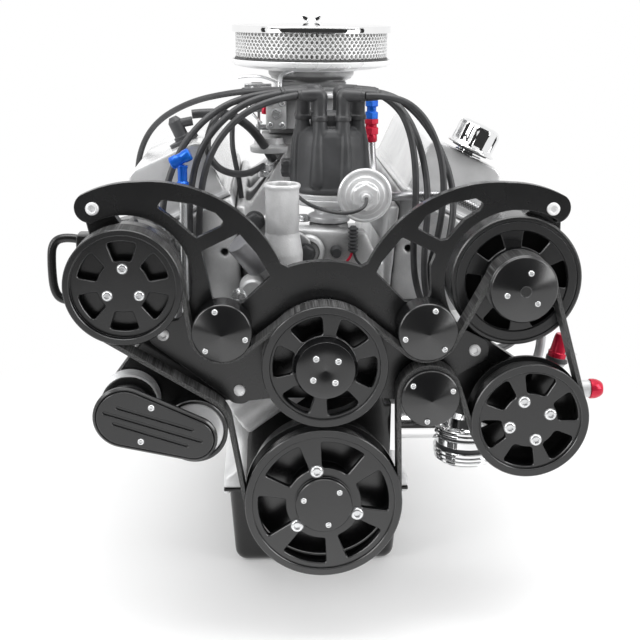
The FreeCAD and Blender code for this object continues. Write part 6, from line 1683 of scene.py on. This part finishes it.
def carburettor_fittings():
    """Choke, bowl, pedestal, linkage and screws."""
    choke = along((-62, -262, 441), (-1, 0, 0))
    parts = [
        turned("choke_housing", [
            (0, 0), (15, 0), (19, 6), (21, 10), (21, 24), (19.6, 25.4), (0, 25.4),
        ], choke, CAST, 48),
        turned("choke_cover", [
            (0, 25), (19, 25), (19, 30), (14, 33), (13, 38), (5, 39.5), (0, 39.5),
        ], choke, BAKELITE, 48),
        block_mesh("choke_bracket", (-96, -302, 456), (-58, -286, 462), STEEL, 1),
        block_mesh("bowl_left", (-66, -350, 404), (-38, -326, 447), CAST, 3.5),
        block_mesh("bowl_cover", (-70, -354, 447), (40, -322, 453), CAST, 1.6),
        turned("pedestal", [
            (0, 372), (25, 372), (26, 374), (26, 380), (21, 383), (19, 392), (0, 392),
        ], upright(-62, -330), CAST, 64),
        turned("pump_plug", [
            (0, 0), (4.2, 0), (4.2, 15), (2.8, 17), (0, 17),
        ], along((-68, -340, 425), (0.1, -0.1, 1)), RED, 32),
        tube("linkage_low", [
            (-84, -300, 458), (-92, -314, 450), (-90, -330, 428), (-72, -338, 412),
        ], 1.8, STEEL, 3),
        tube("linkage_high", [
            (-104, -286, 470), (-84, -296, 474), (-60, -306, 470), (-44, -312, 462),
        ], 1.8, STEEL, 3),
        tube("bowl_vent", [
            (-46, -320, 450), (-48, -318, 470), (-40, -300, 478), (-24, -290, 480),
        ], 3.4, STEEL),
    ]
    heads = bmesh.new()
    for x, z in ((-60, 440), (-44, 440), (-60, 411), (-44, 411)):
        turn_profile(heads, [
            (0, 349), (3.8, 349), (3.8, 351.6), (2.6, 352.8), (0, 352.8),
        ], 20, place=facing(x, 0, z))
    turn_profile(heads, [
        (0, 349), (6.6, 349), (6.6, 350.4), (5.6, 350.6, "hex"), (5.6, 355, "hex"), (0, 355.4),
    ], 36, place=facing(-52, 0, 426))
    for y, z in spots_round((-262, 441), 16.5, 3, 90):
        turn_profile(heads, [(0, 0), (2.6, 0), (2.6, 3), (0, 3.4)], 16, place=along((-88, y, z), (-1, 0, 0)))
    parts.append(mesh_piece("carburettor_screws", heads, STEEL))
    fittings = joined("carburettor_fittings", parts)
    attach(fittings, ENGINE)


carburettor_fittings()

# Pump boss, pipe and bolt seen through the left arch

arch = joined("arch_fittings", [
    turned("bypass_sleeve", [(0, 0), (17, 0), (18, 2), (18, 40), (17, 42), (0, 42)],
           along((-97.9, -592, 299.6), (0.619, 0.25, -0.786)), IRON, 64),
    turned("arch_bolt", [
        (0, -16), (4.6, -16), (4.6, 0), (8.6, 0), (8.6, 1.6), (7.6, 2, "hex"), (7.6, 8.6, "hex"),
        (6.2, 9.8), (0, 9.8),
    ],
           along((-97.2, -592, 231.5), (-0.72, -0.5, 0.48)), STEEL, 48),
    turned("arch_boss", [(0, 500), (17, 500), (16, 530), (13, 533), (0, 533)], facing(-84, 0, 222), CAST, 48),
])
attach(arch, ENGINE)
pads = bmesh.new()
turn_profile(pads, [
    (0, 496), (22, 496), (21.4, 507), (19, 510), (15, 511), (14, 508.6), (0, 508.6),
], 72, place=facing(-14, 0, 268))
turn_profile(pads, [(0, 494), (8, 494), (8, 514), (6.6, 515.4), (0, 515.4)], 32, place=facing(-34, 0, 250))
pads = mesh_piece("front_pads", pads, CAST)
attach(pads, ENGINE)

for template in TEMPLATES:
    bpy.data.objects.remove(template)


# Floor and light

WORLD_LIGHT = 0.8
FLOOR_LIFT = 0.1
FADE_CENTRE = (0, -0.35)
DARK_END_Y = -2.5
DARK_SIDE_X = 2.7
SOFT_BOXES = [
    ("Overhead box", (0, -0.6, 2.1), (0, -0.35, 0.1), 1.8, 1.2, 26),
    ("Left box", (-2, -1.6, 1.1), (0, -0.5, 0.15), 0.8, 1.6, 22),
    ("Right box", (2, -1.5, 1.1), (0, -0.5, 0.15), 0.8, 1.6, 22),
]


def sheet(name, corners, material, plain=True):
    """A flat sheet of the studio; one that isn't plain shows only in reflections."""
    work = bmesh.new()
    work.faces.new([work.verts.new(corner) for corner in corners])
    mesh = bpy.data.meshes.new(name)
    work.to_mesh(mesh)
    work.free()
    mesh.materials.append(material)
    flat = linked(name, mesh)
    flat.visible_camera = plain
    flat.visible_diffuse = plain
    flat.visible_shadow = plain


def direct_rays(tree):
    """One for the camera's own rays and those by way of a mirror or glass, else zero."""
    path = add(tree, "ShaderNodeLightPath").outputs
    seen = math_node(tree, "ADD", path["Is Camera Ray"], path["Is Glossy Ray"])
    return math_node(tree, "MINIMUM", math_node(tree, "ADD", seen, path["Is Transmission Ray"]), 1)


def world_strength(tree, seen):
    """Full white where it is seen, and the studio's light elsewhere."""
    return math_node(tree, "ADD", math_node(tree, "MULTIPLY", seen, 1 - WORLD_LIGHT), WORLD_LIGHT)


def floor_material(floor_z):
    """A pale floor near the engine that fades into the white surround."""
    material = bpy.data.materials.new("Pale floor")
    material.use_nodes = True
    tree = material.node_tree
    tree.nodes.clear()
    seen = direct_rays(tree)
    diffuse = add(tree, "ShaderNodeBsdfDiffuse", Color=(0.88, 0.88, 0.88, 1))
    glow = math_node(tree, "MULTIPLY", seen, FLOOR_LIFT)
    lift = add(tree, "ShaderNodeEmission", Color=(1, 1, 1, 1), Strength=glow)
    near = add(tree, "ShaderNodeAddShader")
    reach = add(tree, "ShaderNodeVectorMath", operation="DISTANCE")
    feed(tree, reach.inputs[0], add(tree, "ShaderNodeTexCoord").outputs["Object"])
    feed(tree, reach.inputs[1], (*FADE_CENTRE, floor_z))
    fade = add(
        tree, "ShaderNodeMapRange", clamp=True, interpolation_type="SMOOTHSTEP", Value=reach.outputs["Value"],
        From_Min=0.42, From_Max=0.95,
    )
    white = math_node(tree, "MINIMUM", world_strength(tree, seen), 1)
    far = add(tree, "ShaderNodeEmission", Color=(1, 1, 1, 1), Strength=white)
    both = add(tree, "ShaderNodeMixShader")
    feed(tree, near.inputs[0], diffuse.outputs[0])
    feed(tree, near.inputs[1], lift.outputs[0])
    feed(tree, both.inputs[0], fade.outputs[0])
    feed(tree, both.inputs[1], near.outputs[0])
    feed(tree, both.inputs[2], far.outputs[0])
    add(tree, "ShaderNodeOutputMaterial", Surface=both.outputs[0])
    return material


def studio():
    """A pale floor with a soft shadow, a white surround, dark cards and soft boxes."""
    floor_z = cad_bounds[0][2]
    size = 30
    sheet("Studio floor", (
        (-size, -size, floor_z), (size, -size, floor_z), (size, size, floor_z), (-size, size, floor_z),
    ), floor_material(floor_z))
    dark = bpy.data.materials.new("Dark room")
    dark.use_nodes = True
    paint = dark.node_tree.nodes["Principled BSDF"].inputs
    paint["Base Color"].default_value = (0.02, 0.02, 0.02, 1)
    paint["Roughness"].default_value = 1
    y = DARK_END_Y
    sheet("Dark studio end", ((-4, y, floor_z), (-4, y, 2.6), (4, y, 2.6), (4, y, floor_z)), dark, False)
    for x in (-DARK_SIDE_X, DARK_SIDE_X):
        for first, second in ((-2.3, -1.7), (-1.2, -0.85)):
            sheet("Dark studio strip", (
                (x, first, floor_z), (x, first, 1.5), (x, second, 1.5), (x, second, floor_z),
            ), dark, False)

    world = bpy.data.worlds.new("Studio")
    bpy.context.scene.world = world
    world.use_nodes = True
    tree = world.node_tree
    tree.nodes.clear()
    strength = world_strength(tree, direct_rays(tree))
    background = add(tree, "ShaderNodeBackground", Color=(1, 1, 1, 1), Strength=strength)
    add(tree, "ShaderNodeOutputWorld", Surface=background.outputs[0])

    for name, spot, aim, width, height, power in SOFT_BOXES:
        data = bpy.data.lights.new(name, "AREA")
        data.shape = "RECTANGLE"
        data.size = width
        data.size_y = height
        data.energy = power
        way = (Vector(spot) - Vector(aim)).normalized()
        turn = way.to_track_quat("Z", "Y").to_matrix().to_4x4()
        linked(name, data).matrix_world = Matrix.Translation(spot) @ turn


studio()

bpy.context.scene.view_settings.view_transform = "Standard"
